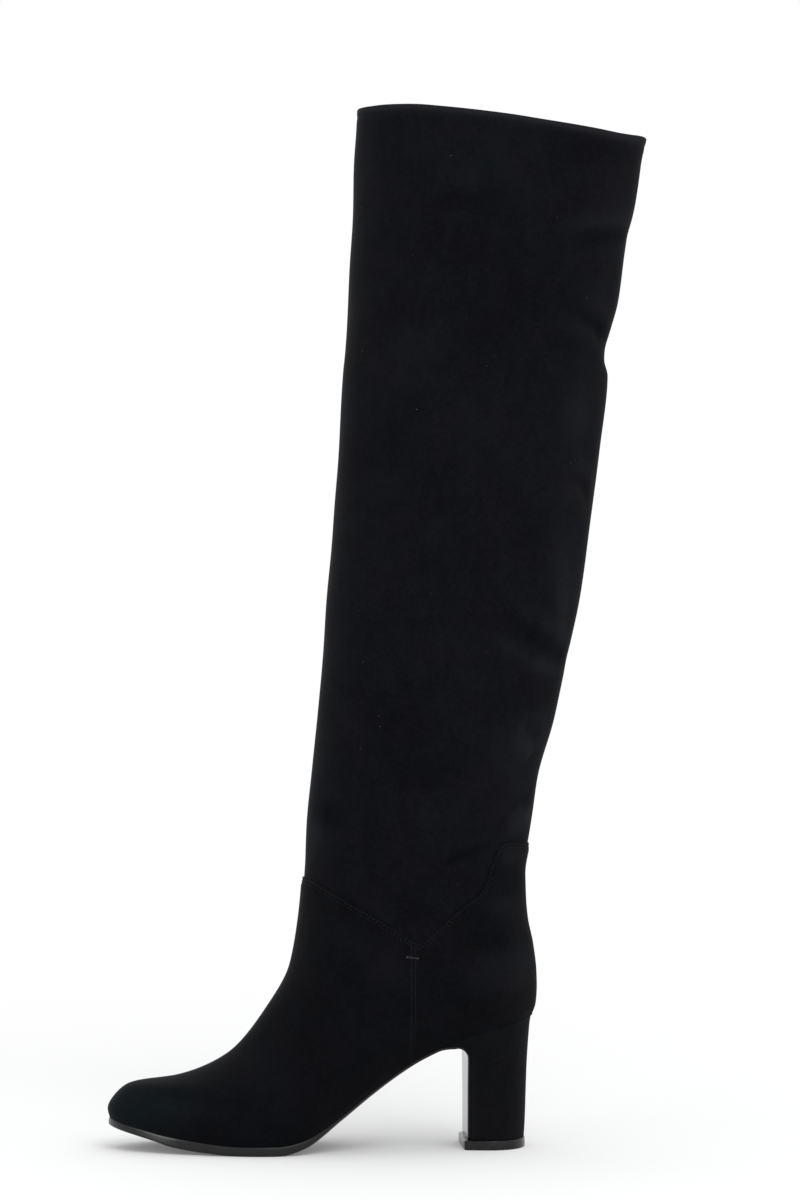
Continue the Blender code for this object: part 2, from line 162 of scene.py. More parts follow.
def bell(at: np.ndarray | float, width: float, middle: float = 0.0) -> np.ndarray:
    """Bell curve, 1 at its middle and nearly 0 at twice its width."""
    return np.exp(-((at - middle) / width) ** 2)


class FootLoop(NamedTuple):
    """One loop of the foot: its end points, how level it lies, its swing, end radii and half widths."""

    front_x: float
    front_z: float
    back_x: float
    back_z: float
    level: float
    swing: float
    tip_r: float
    toe: float
    ball: float
    instep: float
    waist: float
    seat: float
    heel: float
    back_r: float


class LegLoop(NamedTuple):
    """One loop of the leg: its end points and the half width of its oval."""

    front_x: float
    front_z: float
    back_x: float
    back_z: float
    half: float


FOOT_LOOPS = (
    FootLoop(-145.8, 17.4, 84.6, 74.3, 0.0, 1.0, 25.0, 28.2, 39.0, 27.5, 22.6, 24.8, 27.2, 26.0),
    FootLoop(-146.8, 21.8, 86.3, 79.0, 0.0, 1.0, 26.0, 30.2, 40.8, 31.0, 26.5, 27.6, 28.8, 27.0),
    FootLoop(-143.0, 28.6, 86.9, 83.5, 0.0, 1.0, 24.0, 29.4, 41.2, 33.2, 30.0, 30.0, 30.2, 28.0),
    FootLoop(-135.6, 34.2, 87.1, 88.5, 0.0, 1.0, 22.0, 26.0, 40.6, 35.0, 32.6, 31.8, 31.0, 28.0),
    FootLoop(-109.8, 38.4, 86.9, 97.0, 0.0, 0.9, 18.0, 30.2, 39.6, 37.0, 35.6, 34.0, 31.6, 28.0),
    FootLoop(-82.5, 50.2, 85.2, 111.7, 0.0, 0.7, 20.0, 28.6, 36.4, 38.2, 37.0, 34.4, 30.4, 26.0),
    FootLoop(-60.0, 76.4, 82.2, 125.5, 0.25, 0.4, 20.0, 25.0, 36.2, 39.6, 38.5, 34.6, 28.0, 23.0),
    FootLoop(-46.6, 101.8, 80.9, 136.6, 0.6, 0.15, 21.0, 26.0, 37.6, 40.8, 39.2, 33.8, 25.4, 22.5),
    FootLoop(-41.6, 133.0, 80.4, 151.0, 1.0, 0.0, 24.0, 26.8, 39.0, 41.4, 39.2, 32.8, 23.9, 25.0),
)

LEG_LOOPS = (
    LegLoop(-39.6, 160.0, 83.7, 169.8, 42.0),
    LegLoop(-38.3, 182.0, 86.0, 184.0, 42.8),
    LegLoop(-36.2, 204.0, 88.9, 204.0, 44.0),
    LegLoop(-33.5, 236.0, 98.0, 236.0, 45.6),
    LegLoop(-30.4, 269.0, 104.9, 269.0, 47.0),
    LegLoop(-27.3, 304.0, 112.4, 303.0, 48.2),
    LegLoop(-24.2, 345.0, 118.0, 344.0, 49.2),
    LegLoop(-21.1, 387.0, 123.4, 385.0, 50.0),
    LegLoop(-18.9, 427.0, 127.9, 426.0, 50.4),
    LegLoop(-17.6, 440.0, 125.9, 435.2, 50.4),
    LegLoop(-15.5, 474.0, 133.8, 468.0, 50.8),
    LegLoop(-13.6, 510.0, 138.4, 501.0, 51.0),
    LegLoop(-13.0, 538.0, 143.4, 522.0, 50.6),
    LegLoop(-10.8, 573.0, 148.5, 557.4, 50.0),
)


@dataclass
class BootForm:
    """The surface that upper and shaft follow: the last of the foot and the leg above it."""

    feather: Table = ((-149.0, 18.0), (-131.0, 13.7), (-115.0, 10.1), (-99.0, 7.75), (-92.0, 6.85),
                      (-84.0, 6.0), (-76.0, 5.65), (-56.0, 5.65), (-51.0, 6.25), (-47.0, 7.05), (-42.0, 8.4),
                      (-33.0, 13.2), (-22.0, 20.8), (-12.0, 28.6), (-6.0, 33.2), (11.0, 45.0), (22.0, 51.6),
                      (33.0, 56.6), (54.0, 64.6), (70.0, 69.3), (86.0, 73.3))
    swing: Table = ((-148.0, 5.0), (-118.0, 4.0), (-75.0, 0.5), (-45.0, -2.4), (-10.0, -3.4), (20.0, -2.4),
                    (55.0, 0.0), (90.0, 0.0))
    top_line: Table = ((0.0, 149.5), (22.0, 147.8), (34.5, 144.5), (50.0, 138.4), (63.5, 132.0), (77.0, 124.7),
                       (87.0, 119.1), (91.0, 117.0), (93.4, 115.8), (94.6, 115.2), (95.8, 115.7), (98.0, 117.0),
                       (102.5, 122.3), (108.0, 128.8), (116.0, 135.6), (123.0, 140.4), (127.2, 145.4),
                       (129.4, 151.4), (131.5, 159.0), (133.3, 164.6), (136.6, 168.5), (144.0, 169.2),
                       (161.0, 168.3), (180.0, 167.9))
    width_angles: tuple[float, ...] = (0.0, 40.0, 70.0, 95.0, 110.0, 128.0, 145.0, 180.0)
    leg_end_sharpness: float = 0.97
    collar_edge: Table = ((0.0, 0.0), (22.0, 0.45), (32.0, 1.05), (42.0, 1.55), (52.0, 1.9), (65.0, 1.55),
                          (80.0, 1.05), (92.0, 0.55), (104.0, -0.2), (116.0, -0.6), (128.0, -0.9),
                          (140.0, -1.15), (150.0, -0.75), (160.0, 0.1), (170.0, 0.7), (180.0, 0.8))
    collar_reach: float = 60.0
    seam_x: float = 17.0

    def __post_init__(self) -> None:
        """Turn the tables into curves."""
        self.feather_z = SmoothCurve(*zip(*self.feather))
        self.swing_y = SmoothCurve(*zip(*self.swing))
        self.top_z = SmoothCurve(*zip(*self.top_line))
        self.collar_rise = SmoothCurve(*zip(*self.collar_edge))
        rows = self.loop_rows()
        front = np.hypot(np.diff(rows[:, 0]), np.diff(rows[:, 1]))
        back = np.hypot(np.diff(rows[:, 2]), np.diff(rows[:, 3]))
        stations = np.concatenate([[0.0], np.cumsum((front + back) / 2)])
        self.collar = float(stations[-1])
        self.loops = SmoothCurve(stations, rows)

    def loop_rows(self) -> np.ndarray:
        """Loops from feather line to collar.

        Returns:
            Rows of front_x, front_z, back_x, back_z, level, swing and one spread per width angle. The
            spread is the half width divided by the sine of the angle, which stays finite at both ends.
        """
        sines = np.sin(np.radians(self.width_angles[1:-1]))
        rows = []
        for loop in FOOT_LOOPS:
            half_length = (loop.back_x - loop.front_x) / 2
            spread = np.array(loop[7:13]) / sines
            ends = np.sqrt(np.array([loop.tip_r, loop.back_r]) * half_length)
            rows.append([*loop[:6], ends[0], *spread, ends[1]])
        for loop in LEG_LOOPS:
            end = loop.half * self.leg_end_sharpness
            rows.append([*loop[:4], 1.0, 0.0, end, *[loop.half] * len(sines), end])
        return np.array(rows)

    def spread(self, columns: np.ndarray, angle: np.ndarray) -> np.ndarray:
        """Spread at each place's own angle, from that place's row of spreads.

        Args:
            columns: One row of spreads per place.
            angle: One angle per place, in degrees.

        Returns:
            One spread per place.
        """
        knots = np.array(self.width_angles)
        spans, values = np.diff(knots), columns.T
        slopes = knot_slopes(spans, values, level_ends=True)
        at = np.clip(angle, knots[0], knots[-1])
        i, each = span_before(knots, at), np.arange(len(at))
        t = (at - knots[i]) / spans[i]
        return between(t, spans[i], (values[i, each], values[i + 1, each]), (slopes[i, each], slopes[i + 1, each]))

    def points(self, angle: np.ndarray, station: np.ndarray, side: np.ndarray) -> Grid:
        """Points of the surface.

        Args:
            angle: Loop angles in degrees; just past an end they run on to the other side.
            station: Stations, of a shape that fits the angles.
            side: -1 for the outer and 1 for the inner side.

        Returns:
            Points in millimetres, in the shape of the places and one axis more.
        """
        angle, station, side = np.broadcast_arrays(*(np.asarray(v, dtype=float) for v in (angle, station, side)))
        shape = angle.shape
        angle, station, side = angle.ravel(), station.ravel(), side.ravel()
        loop = self.loops(station)
        front_x, front_z, back_x, back_z, level, swing = loop[:, :6].T
        turn = np.radians(angle)
        along = (1 - np.cos(turn)) / 2
        x = front_x + (back_x - front_x) * along
        half = np.sin(turn) * self.spread(loop[:, 6:], angle)
        rise_front = front_z - self.feather_z(front_x)
        rise_back = back_z - self.feather_z(back_x)
        over_sole = self.feather_z(x) + rise_front + (rise_back - rise_front) * along
        straight = front_z + (back_z - front_z) * along
        near_collar = np.maximum(0.0, 1 - (self.collar - station) / self.collar_reach)
        z = over_sole + (straight - over_sole) * level + self.collar_rise(angle) * near_collar
        return np.stack([x, swing * self.swing_y(x) + side * half, z], axis=-1).reshape(*shape, 3)

    def outward(self, angle: np.ndarray, station: np.ndarray, side: np.ndarray, step: float = 0.5) -> Grid:
        """Unit vectors square to the surface, pointing out of the boot.

        Args:
            angle: Loop angles in degrees.
            station: Stations.
            side: -1 for the outer and 1 for the inner side.
            step: Half the distance over which the surface is measured.

        Returns:
            Vectors in the shape of the points.
        """
        side = np.asarray(side, dtype=float)
        along = self.points(angle + step, station, side) - self.points(angle - step, station, side)
        up = self.points(angle, station + step, side) - self.points(angle, station - step, side)
        normal = np.cross(along, up) * -np.broadcast_to(side, along.shape[:-1])[..., None]
        return normal / np.linalg.norm(normal, axis=-1, keepdims=True)

    def lifted(self, angle: np.ndarray, station: np.ndarray, side: np.ndarray, lift: np.ndarray) -> Grid:
        """Points that stand a distance outside the surface."""
        lift = np.broadcast_to(np.asarray(lift, dtype=float), np.broadcast_shapes(np.shape(angle), np.shape(station)))
        return self.points(angle, station, side) + self.outward(angle, station, side) * lift[..., None]

    def seam_angle(self, station: np.ndarray, x: np.ndarray | float | None = None) -> np.ndarray:
        """Loop angle of an upright line on the side of the foot, the side seam unless x is given."""
        loop = self.loops(station)
        share = ((self.seam_x if x is None else x) - loop[..., 0]) / (loop[..., 2] - loop[..., 0])
        return np.degrees(np.arccos(np.clip(1 - 2 * share, -1.0, 1.0)))

    def seam_warp(self, column: np.ndarray, station: np.ndarray) -> np.ndarray:
        """Loop angles of columns that lean so that column 90 runs along the side seam."""
        t, middle = column / 180.0, self.seam_angle(station) / 180.0
        return 180.0 * (t + 4 * (middle - 0.5) * t * (1 - t))

    def station_of(self, x: np.ndarray, z: np.ndarray) -> np.ndarray:
        """Stations at which upright lines on the outer side of the foot reach given heights."""
        outer = Side.OUTER.value
        return self.bisected(x, lambda station: self.points(self.seam_angle(station, x), station, outer)[..., 2] < z)

    def station_at(self, column: np.ndarray, drop: float, warped: bool) -> np.ndarray:
        """Stations that lie a height below the upper's top line.

        Args:
            column: Columns around the boot, as angles in degrees.
            drop: Height below the top line.
            warped: Whether the columns lean along the side seam.

        Returns:
            One station per column.
        """
        def below(station: np.ndarray) -> np.ndarray:
            """Whether stations lie lower than wanted."""
            angle = self.seam_warp(column, station) if warped else column
            return self.points(angle, station, Side.OUTER.value)[..., 2] < self.top_z(angle) - drop

        return self.bisected(column, below)

    def bisected(self, like: np.ndarray, below: Callable[[np.ndarray], np.ndarray]) -> np.ndarray:
        """Stations up to which a test holds.

        Args:
            like: One entry per place.
            below: Tells which stations are still too low.

        Returns:
            One station per place.
        """
        low, high = np.zeros(np.shape(like)), np.full(np.shape(like), self.collar)
        for _ in range(BISECTIONS):
            middle = (low + high) / 2
            short = below(middle)
            low, high = np.where(short, middle, low), np.where(short, high, middle)
        return (low + high) / 2


@dataclass(frozen=True)
class Fold:
    """A soft crease of the shaft: a trough along a path, with a lip standing up above and below.

    The path's points are (around, z), where around is the angle on the outer side and 360 less the angle
    on the inner side. Depths and widths are in millimetres; the lips are placed in widths of the trough.
    """

    path: Table
    depth: float
    width: float
    lip_above: float = 0.0
    lip_below: float = 0.0
    lip_off: float = 1.9
    lip_wide: float = 1.3
    taper: float = 0.5

    def height(self, around: np.ndarray, z: np.ndarray) -> np.ndarray:
        """Height of the crease over the plain surface.

        Args:
            around: Places around the leg, in degrees from 0 to 360.
            z: Heights.

        Returns:
            Heights in millimetres, negative in the trough.
        """
        best = np.full(around.shape, np.inf)
        signed, share = np.zeros_like(best), np.zeros_like(best)
        points = np.array(self.path, dtype=float)
        lengths = np.hypot(*np.diff(points, axis=0).T)
        total, run = lengths.sum(), 0.0
        for start, stop, length in zip(points[:-1], points[1:], lengths):
            way = (stop - start) / length
            across = np.array([-way[1], way[0]]) * (1.0 if way[0] >= 0 else -1.0)
            ahead = np.clip((around - start[0]) * way[0] + (z - start[1]) * way[1], 0.0, length)
            off_a, off_z = around - start[0] - way[0] * ahead, z - start[1] - way[1] * ahead
            distance = np.hypot(off_a, off_z)
            nearer = distance < best
            best = np.where(nearer, distance, best)
            signed = np.where(nearer, np.copysign(distance, off_a * across[0] + off_z * across[1]), signed)
            share = np.where(nearer, (run + ahead) / total, share)
            run += length
        trough = -self.depth * bell(signed, self.width)
        off, wide = self.lip_off * self.width, self.lip_wide * self.width
        above, below = self.lip_above * bell(signed, wide, off), self.lip_below * bell(signed, wide, -off)
        return (trough + above + below) * smooth_step(0.0, self.taper, 1 - np.abs(2 * share - 1))


SHAFT_FOLDS = (
    Fold(((60.0, 517.4), (73.0, 517.6), (87.0, 516.8)), 0.9, 5.5, 0.3, 0.4),
    Fold(((110.0, 498.4), (128.0, 498.6), (150.0, 502.0), (176.0, 505.0), (200.0, 500.0)), 1.5, 4.6, 1.0, 0.2),
    Fold(((117.0, 466.0), (134.0, 457.2), (155.0, 448.5), (182.0, 441.0), (214.0, 449.0)), 1.4, 4.0, 0.9, 0.9),
    Fold(((113.0, 441.0), (125.0, 441.6), (137.0, 442.4)), 0.7, 5.0, 0.0, 0.3),
    Fold(((133.0, 372.0), (147.0, 366.0), (163.0, 357.0)), 0.8, 4.2, 0.5, 0.4),
    Fold(((103.0, 297.0), (121.7, 284.8), (144.6, 273.6), (172.0, 268.0), (192.0, 275.0)), 1.6, 4.8, 1.0, 0.9),
    Fold(((66.0, 252.6), (79.7, 255.4), (93.0, 256.8)), 0.7, 8.0, 0.2, 0.2),
    Fold(((133.0, 236.0), (142.0, 230.0), (152.0, 226.0)), 0.9, 5.0, 0.2, 0.7),
    Fold(((29.0, 188.0), (39.0, 182.4), (47.0, 176.0)), 0.9, 5.5, 0.5, 0.3),
    Fold(((100.0, 158.6), (111.0, 162.3), (123.0, 167.0)), 1.2, 2.4, 0.5, 0.5),
    Fold(((126.0, 171.0), (135.0, 181.0), (145.0, 191.0), (164.0, 195.0)), 0.6, 5.0, 0.3, 0.9),
    Fold(((226.0, 478.0), (246.0, 470.0), (268.0, 466.0)), 1.1, 5.0, 0.6, 0.4),
    Fold(((202.0, 402.0), (224.0, 396.0), (240.0, 386.0)), 0.9, 5.0, 0.5, 0.3),
    Fold(((198.0, 300.0), (222.0, 288.0), (250.0, 282.0)), 1.2, 5.2, 0.7, 0.5),
    Fold(((210.0, 178.0), (232.0, 170.0), (258.0, 160.0)), 1.1, 4.0, 0.6, 0.6),
)


class Wave(NamedTuple):
    """One slow wave of a hand-sewn skin: turns around the leg, wavelength up the leg, phase and height."""

    turns: int
    length: float
    phase: float
    height: float


SKIN_WAVES = (
    Wave(2, 150.0, 0.4, 0.20),
    Wave(3, -96.0, 2.1, 0.16),
    Wave(5, 118.0, 4.4, 0.12),
    Wave(7, -61.0, 1.3, 0.09),
    Wave(11, 47.0, 5.2, 0.06),
)


def skin_height(around: np.ndarray, z: np.ndarray) -> np.ndarray:
    """Slow unevenness of the skin at places around the leg, in millimetres."""
    height = np.zeros(np.broadcast_shapes(np.shape(around), np.shape(z)))
    for wave in SKIN_WAVES:
        turn = wave.turns * np.radians(around) + math.tau * z / wave.length + wave.phase
        height = height + wave.height * np.sin(turn)
    return height


class NapAndLightPatch(NamedTuple):
    """A patch on the outer side, paler, or darker where its paleness is below 0; partly uneven nap, partly painted
    highlight and shade: middle, half sizes and paleness.
    """

    x: float
    z: float
    wide: float
    high: float
    pale: float

    def share(self, x: np.ndarray, z: np.ndarray) -> np.ndarray:
        """How much of the patch shows at each place."""
        return self.pale * np.exp(-((x - self.x) / self.wide) ** 2 - ((z - self.z) / self.high) ** 2)


# Shaft patches, partly uneven nap and partly painted shade along creases with painted highlight beside them.
SHAFT_NAP_AND_LIGHT = (
    NapAndLightPatch(101.6, 299.0, 5.0, 17.0, 1.1),
    NapAndLightPatch(90.0, 266.0, 11.0, 6.0, 0.8),
    NapAndLightPatch(82.5, 229.0, 13.0, 14.0, 0.7),
    NapAndLightPatch(75.0, 182.5, 8.0, 8.0, 1.1),
    NapAndLightPatch(-35.0, 176.0, 4.0, 12.0, 0.9),
    NapAndLightPatch(108.0, 403.0, 9.0, 20.0, 0.7),
    NapAndLightPatch(106.0, 368.0, 9.0, 10.0, 0.7),
    NapAndLightPatch(-26.0, 187.0, 9.0, 7.0, -1.4),
    NapAndLightPatch(114.0, 548.0, 17.0, 5.0, -0.6),
    NapAndLightPatch(76.0, 470.0, 24.0, 42.0, -0.5),
    NapAndLightPatch(20.0, 135.0, 20.0, 12.0, -0.8),
    NapAndLightPatch(14.0, 245.0, 26.0, 40.0, -0.6),
    NapAndLightPatch(8.0, 158.0, 26.0, 14.0, -0.5),
    NapAndLightPatch(98.0, 322.0, 9.0, 18.0, 0.5),
    NapAndLightPatch(44.0, 163.0, 6.0, 2.2, -0.7),
    NapAndLightPatch(52.0, 165.8, 6.0, 2.2, -1.0),
)

# Foot patches, partly uneven nap and partly painted highlight and shade.
FOOT_NAP_AND_LIGHT = (
    NapAndLightPatch(66.0, 101.0, 24.0, 18.0, 0.8),
    NapAndLightPatch(73.0, 162.0, 9.0, 7.0, 1.0),
    NapAndLightPatch(70.0, 149.0, 10.0, 6.0, -0.6),
    NapAndLightPatch(68.0, 135.0, 12.0, 8.0, 0.7),
    NapAndLightPatch(62.0, 116.0, 14.0, 7.0, -0.4),
    NapAndLightPatch(3.0, 101.0, 14.0, 16.0, 0.5),
    NapAndLightPatch(-20.0, 118.0, 14.0, 12.0, 0.4),
    NapAndLightPatch(-60.0, 45.0, 20.0, 16.0, 0.35),
    NapAndLightPatch(-110.0, 26.0, 26.0, 12.0, 0.45),
)


class Columns(NamedTuple):
    """Columns of a shell, once around: angles and sides."""

    angle: np.ndarray
    side: np.ndarray

    @property
    def around(self) -> np.ndarray:
        """Place around the leg in degrees, 0 to 360, outer side first."""
        return np.where(self.side < 0, self.angle, 360.0 - self.angle)

    @property
    def pressed(self) -> np.ndarray:
        """How flat the nap is pressed: fully along the back."""
        return smooth_step(*BACK_PRESSED, self.angle)


def columns_around(step: float, close_at: Sequence[float] = (), closeness: Sequence[float] = ()) -> Columns:
    """Columns once around the boot: front, outer side, back, inner side.

    Args:
        step: Degrees from one column to the next.
        close_at: Angles at which more columns are added.
        closeness: Distances of the added columns from such an angle.

    Returns:
        The columns, evenly spread apart from the added ones.
    """
    plain = np.linspace(0.0, 180.0, round(180.0 / step) + 1)
    for middle in close_at:
        near = np.array(sorted({middle, *(middle + d for d in closeness), *(middle - d for d in closeness)}))
        near = near[(near >= 0.0) & (near <= 180.0)]
        plain = plain[(plain < near.min() - step / 3) | (plain > near.max() + step / 3)]
        plain = np.sort(np.concatenate([plain, near]))
    plain[0], plain[-1] = 0.0, 180.0
    back = plain[-2:0:-1]
    sides = np.repeat([Side.OUTER.value, Side.INNER.value], [len(plain), len(back)])
    return Columns(np.concatenate([plain, back]), sides)


def rim_turns(steps: int) -> np.ndarray:
    """Angles of the rows that round a rim from its outer to its inner face, as a column."""
    return np.linspace(0.0, math.pi, steps + 2)[1:-1, None]


def both_sides(half: Sequence[Spot], middle: float) -> list[Spot]:
    """A closed section from its half, whose spots are x, half width and z."""
    outer = [(x, middle - wide, z) for x, wide, z in half]
    return outer + [(x, middle + wide, z) for x, wide, z in reversed(half)]


def ring_quads(rings: int, count: int, closed: bool) -> np.ndarray:
    """Quads between rings of points that each close on themselves.

    Args:
        rings: Number of rings.
        count: Points in each ring.
        closed: Whether the last ring joins the first one.

    Returns:
        Four point numbers per quad.
    """
    j = np.arange(rings if closed else rings - 1)[:, None]
    i = np.arange(count)[None, :]
    here, above, after = j * count, (j + 1) % rings * count, (i + 1) % count
    return np.stack([here + i, here + after, above + after, above + i], axis=-1).reshape(-1, 4)


def make_piece(name: str, rings: Grid, material: bpy.types.Material, closed: bool,
               marks: dict[str, np.ndarray] | None = None) -> bpy.types.Object:
    """A smooth, closed piece from rings of points.

    Args:
        name: Name of the piece.
        rings: Points in millimetres, ring by ring.
        material: Its finish.
        closed: Whether the last ring joins the first one; otherwise both ends are capped.
        marks: Numbers per point that the finish reads by name.

    Returns:
        The piece, linked to the scene.
    """
    count = rings.shape[1]
    mesh = bpy.data.meshes.new(name)
    mesh.from_pydata((rings.reshape(-1, 3) * MM).tolist(), [], ring_quads(rings.shape[0], count, closed).tolist())
    for mark, values in (marks or {}).items():
        layer = mesh.attributes.new(mark, "FLOAT", "POINT")
        layer.data.foreach_set("value", np.ascontiguousarray(values, dtype=np.float32).ravel())
    shape = bmesh.new()
    shape.from_mesh(mesh)
    if not closed:
        shape.verts.ensure_lookup_table()
        last = (rings.shape[0] - 1) * count
        shape.faces.new([shape.verts[i] for i in range(count)])
        shape.faces.new([shape.verts[last + i] for i in range(count)])
    bmesh.ops.remove_doubles(shape, verts=shape.verts, dist=WELD * MM)
    bmesh.ops.recalc_face_normals(shape, faces=shape.faces)
    shape.to_mesh(mesh)
    shape.free()
    mesh.shade_smooth()
    mesh.materials.append(material)
    piece = bpy.data.objects.new(name, mesh)
    bpy.context.scene.collection.objects.link(piece)
    return piece


def seat_piece(piece: bpy.types.Object, node: str | None = None) -> None:
    """Let a piece ride on the boot and stand for a node of the frame.

    Args:
        piece: The finished piece.
        node: The node it stands for, if any.
    """
    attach(piece, BODY)
    if node:
        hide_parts(node)
    LOG.info("%s: %d faces", piece.name, len(piece.data.polygons))


class Wiring:
    """Short hand for adding nodes to a tree."""

    tree: bpy.types.NodeTree

    def add(self, kind: str, inputs: dict | None = None, **settings: object) -> bpy.types.Node:
        """Add a node.

        Args:
            kind: Blender's name of the node.
            inputs: Values or sockets for its inputs, by name or number.
            settings: Properties of the node.

        Returns:
            The node.
        """
        node = self.tree.nodes.new(kind)
        for key, value in settings.items():
            setattr(node, key, value)
        for key, value in (inputs or {}).items():
            self.feed(node.inputs[key], value)
        return node

    def feed(self, socket: Socket, value: object) -> None:
        """Link a socket to an input, or set the input to a value."""
        if isinstance(value, Socket):
            self.tree.links.new(value, socket)
        else:
            socket.default_value = value


class FinishTree(Wiring):
    """The nodes of one finish."""

    lump_roughness: float = 0.55

    def __init__(self, name: str) -> None:
        """Start a material with a Principled shader."""
        self.material = bpy.data.materials.new(name)
        self.material.use_nodes = True
        self.tree = self.material.node_tree
        self.shader = self.tree.nodes["Principled BSDF"]
        self.place = self.add("ShaderNodeTexCoord").outputs["Object"]

    def noise(self, size: float, detail: float = 2.0, stretch: tuple[float, float, float] = (1.0, 1.0, 1.0)) -> Socket:
        """Noise whose lumps are about a size in millimetres, stretched along the axes.

        Args:
            size: Size of the lumps.
            detail: How many finer layers it has.
            stretch: How much longer the lumps are along X, Y and Z.

        Returns:
            The noise, around 0.5.
        """
        scale = tuple(1.0 / (size * MM * s) for s in stretch)
        spread = self.add("ShaderNodeMapping", {"Vector": self.place, "Scale": scale})
        return self.add("ShaderNodeTexNoise", {"Vector": spread.outputs["Vector"], "Scale": 1.0, "Detail": detail,
                                               "Roughness": self.lump_roughness}).outputs["Fac"]

    def cells(self, size: float) -> bpy.types.Node:
        """Scattered cells about a size in millimetres."""
        return self.add("ShaderNodeTexVoronoi", {"Vector": self.place, "Scale": 1.0 / (size * MM)})

    def math(self, operation: str, a: object, b: object) -> Socket:
        """A Math node's result for two numbers or sockets."""
        return self.add("ShaderNodeMath", {0: a, 1: b}, operation=operation).outputs["Value"]

    def weighed(self, *parts: tuple[Socket, float]) -> Socket:
        """The sum of sockets, each times its weight."""
        total = None
        for socket, weight in parts:
            part = self.math("MULTIPLY", socket, weight)
            total = part if total is None else self.math("ADD", total, part)
        return total

    def ranged(self, value: object, low: float, high: float, to_low: float = 0.0, to_high: float = 1.0) -> Socket:
        """A value taken from one range to another, clamped and eased."""
        return self.add("ShaderNodeMapRange", {"Value": value, "From Min": low, "From Max": high, "To Min": to_low,
                                               "To Max": to_high}, interpolation_type="SMOOTHSTEP").outputs["Result"]

    def mixed(self, share: object, a: object, b: object, blend: str = "MIX") -> Socket:
        """A colour between two colours or colour sockets, or the first one blended with the second."""
        a, b = ((*c, 1.0) if isinstance(c, tuple) else c for c in (a, b))
        return self.add("ShaderNodeMix", {"Factor": share, 6: a, 7: b}, data_type="RGBA", blend_type=blend).outputs[2]

    def times(self, a: Socket, b: Socket) -> Socket:
        """One colour multiplied by another."""
        return self.mixed(1.0, a, b, "MULTIPLY")

    def mark(self, name: str) -> Socket:
        """A number that the piece's points carry."""
        return self.add("ShaderNodeAttribute", attribute_name=name).outputs["Fac"]

    def bump(self, height: Socket, distance: float, strength: float, under: Socket | None = None) -> Socket:
        """Relief from a height.

        Args:
            height: Heights from 0 to 1.
            distance: Depth of the relief in millimetres.
            strength: Share of the relief that shows.
            under: A coarser relief below it.

        Returns:
            The normal.
        """
        inputs = {"Height": height, "Distance": distance * MM, "Strength": strength}
        if under:
            inputs["Normal"] = under
        return self.add("ShaderNodeBump", inputs).outputs["Normal"]

    def dress(self, **inputs: object) -> bpy.types.Material:
        """Set or link the shader's inputs, named with underscores for spaces, and hand over the material."""
        for key, value in inputs.items():
            socket = self.shader.inputs[key.replace("_", " ")]
            self.feed(socket, (*value, 1.0) if isinstance(value, tuple) and len(value) == 3 else value)
        return self.material


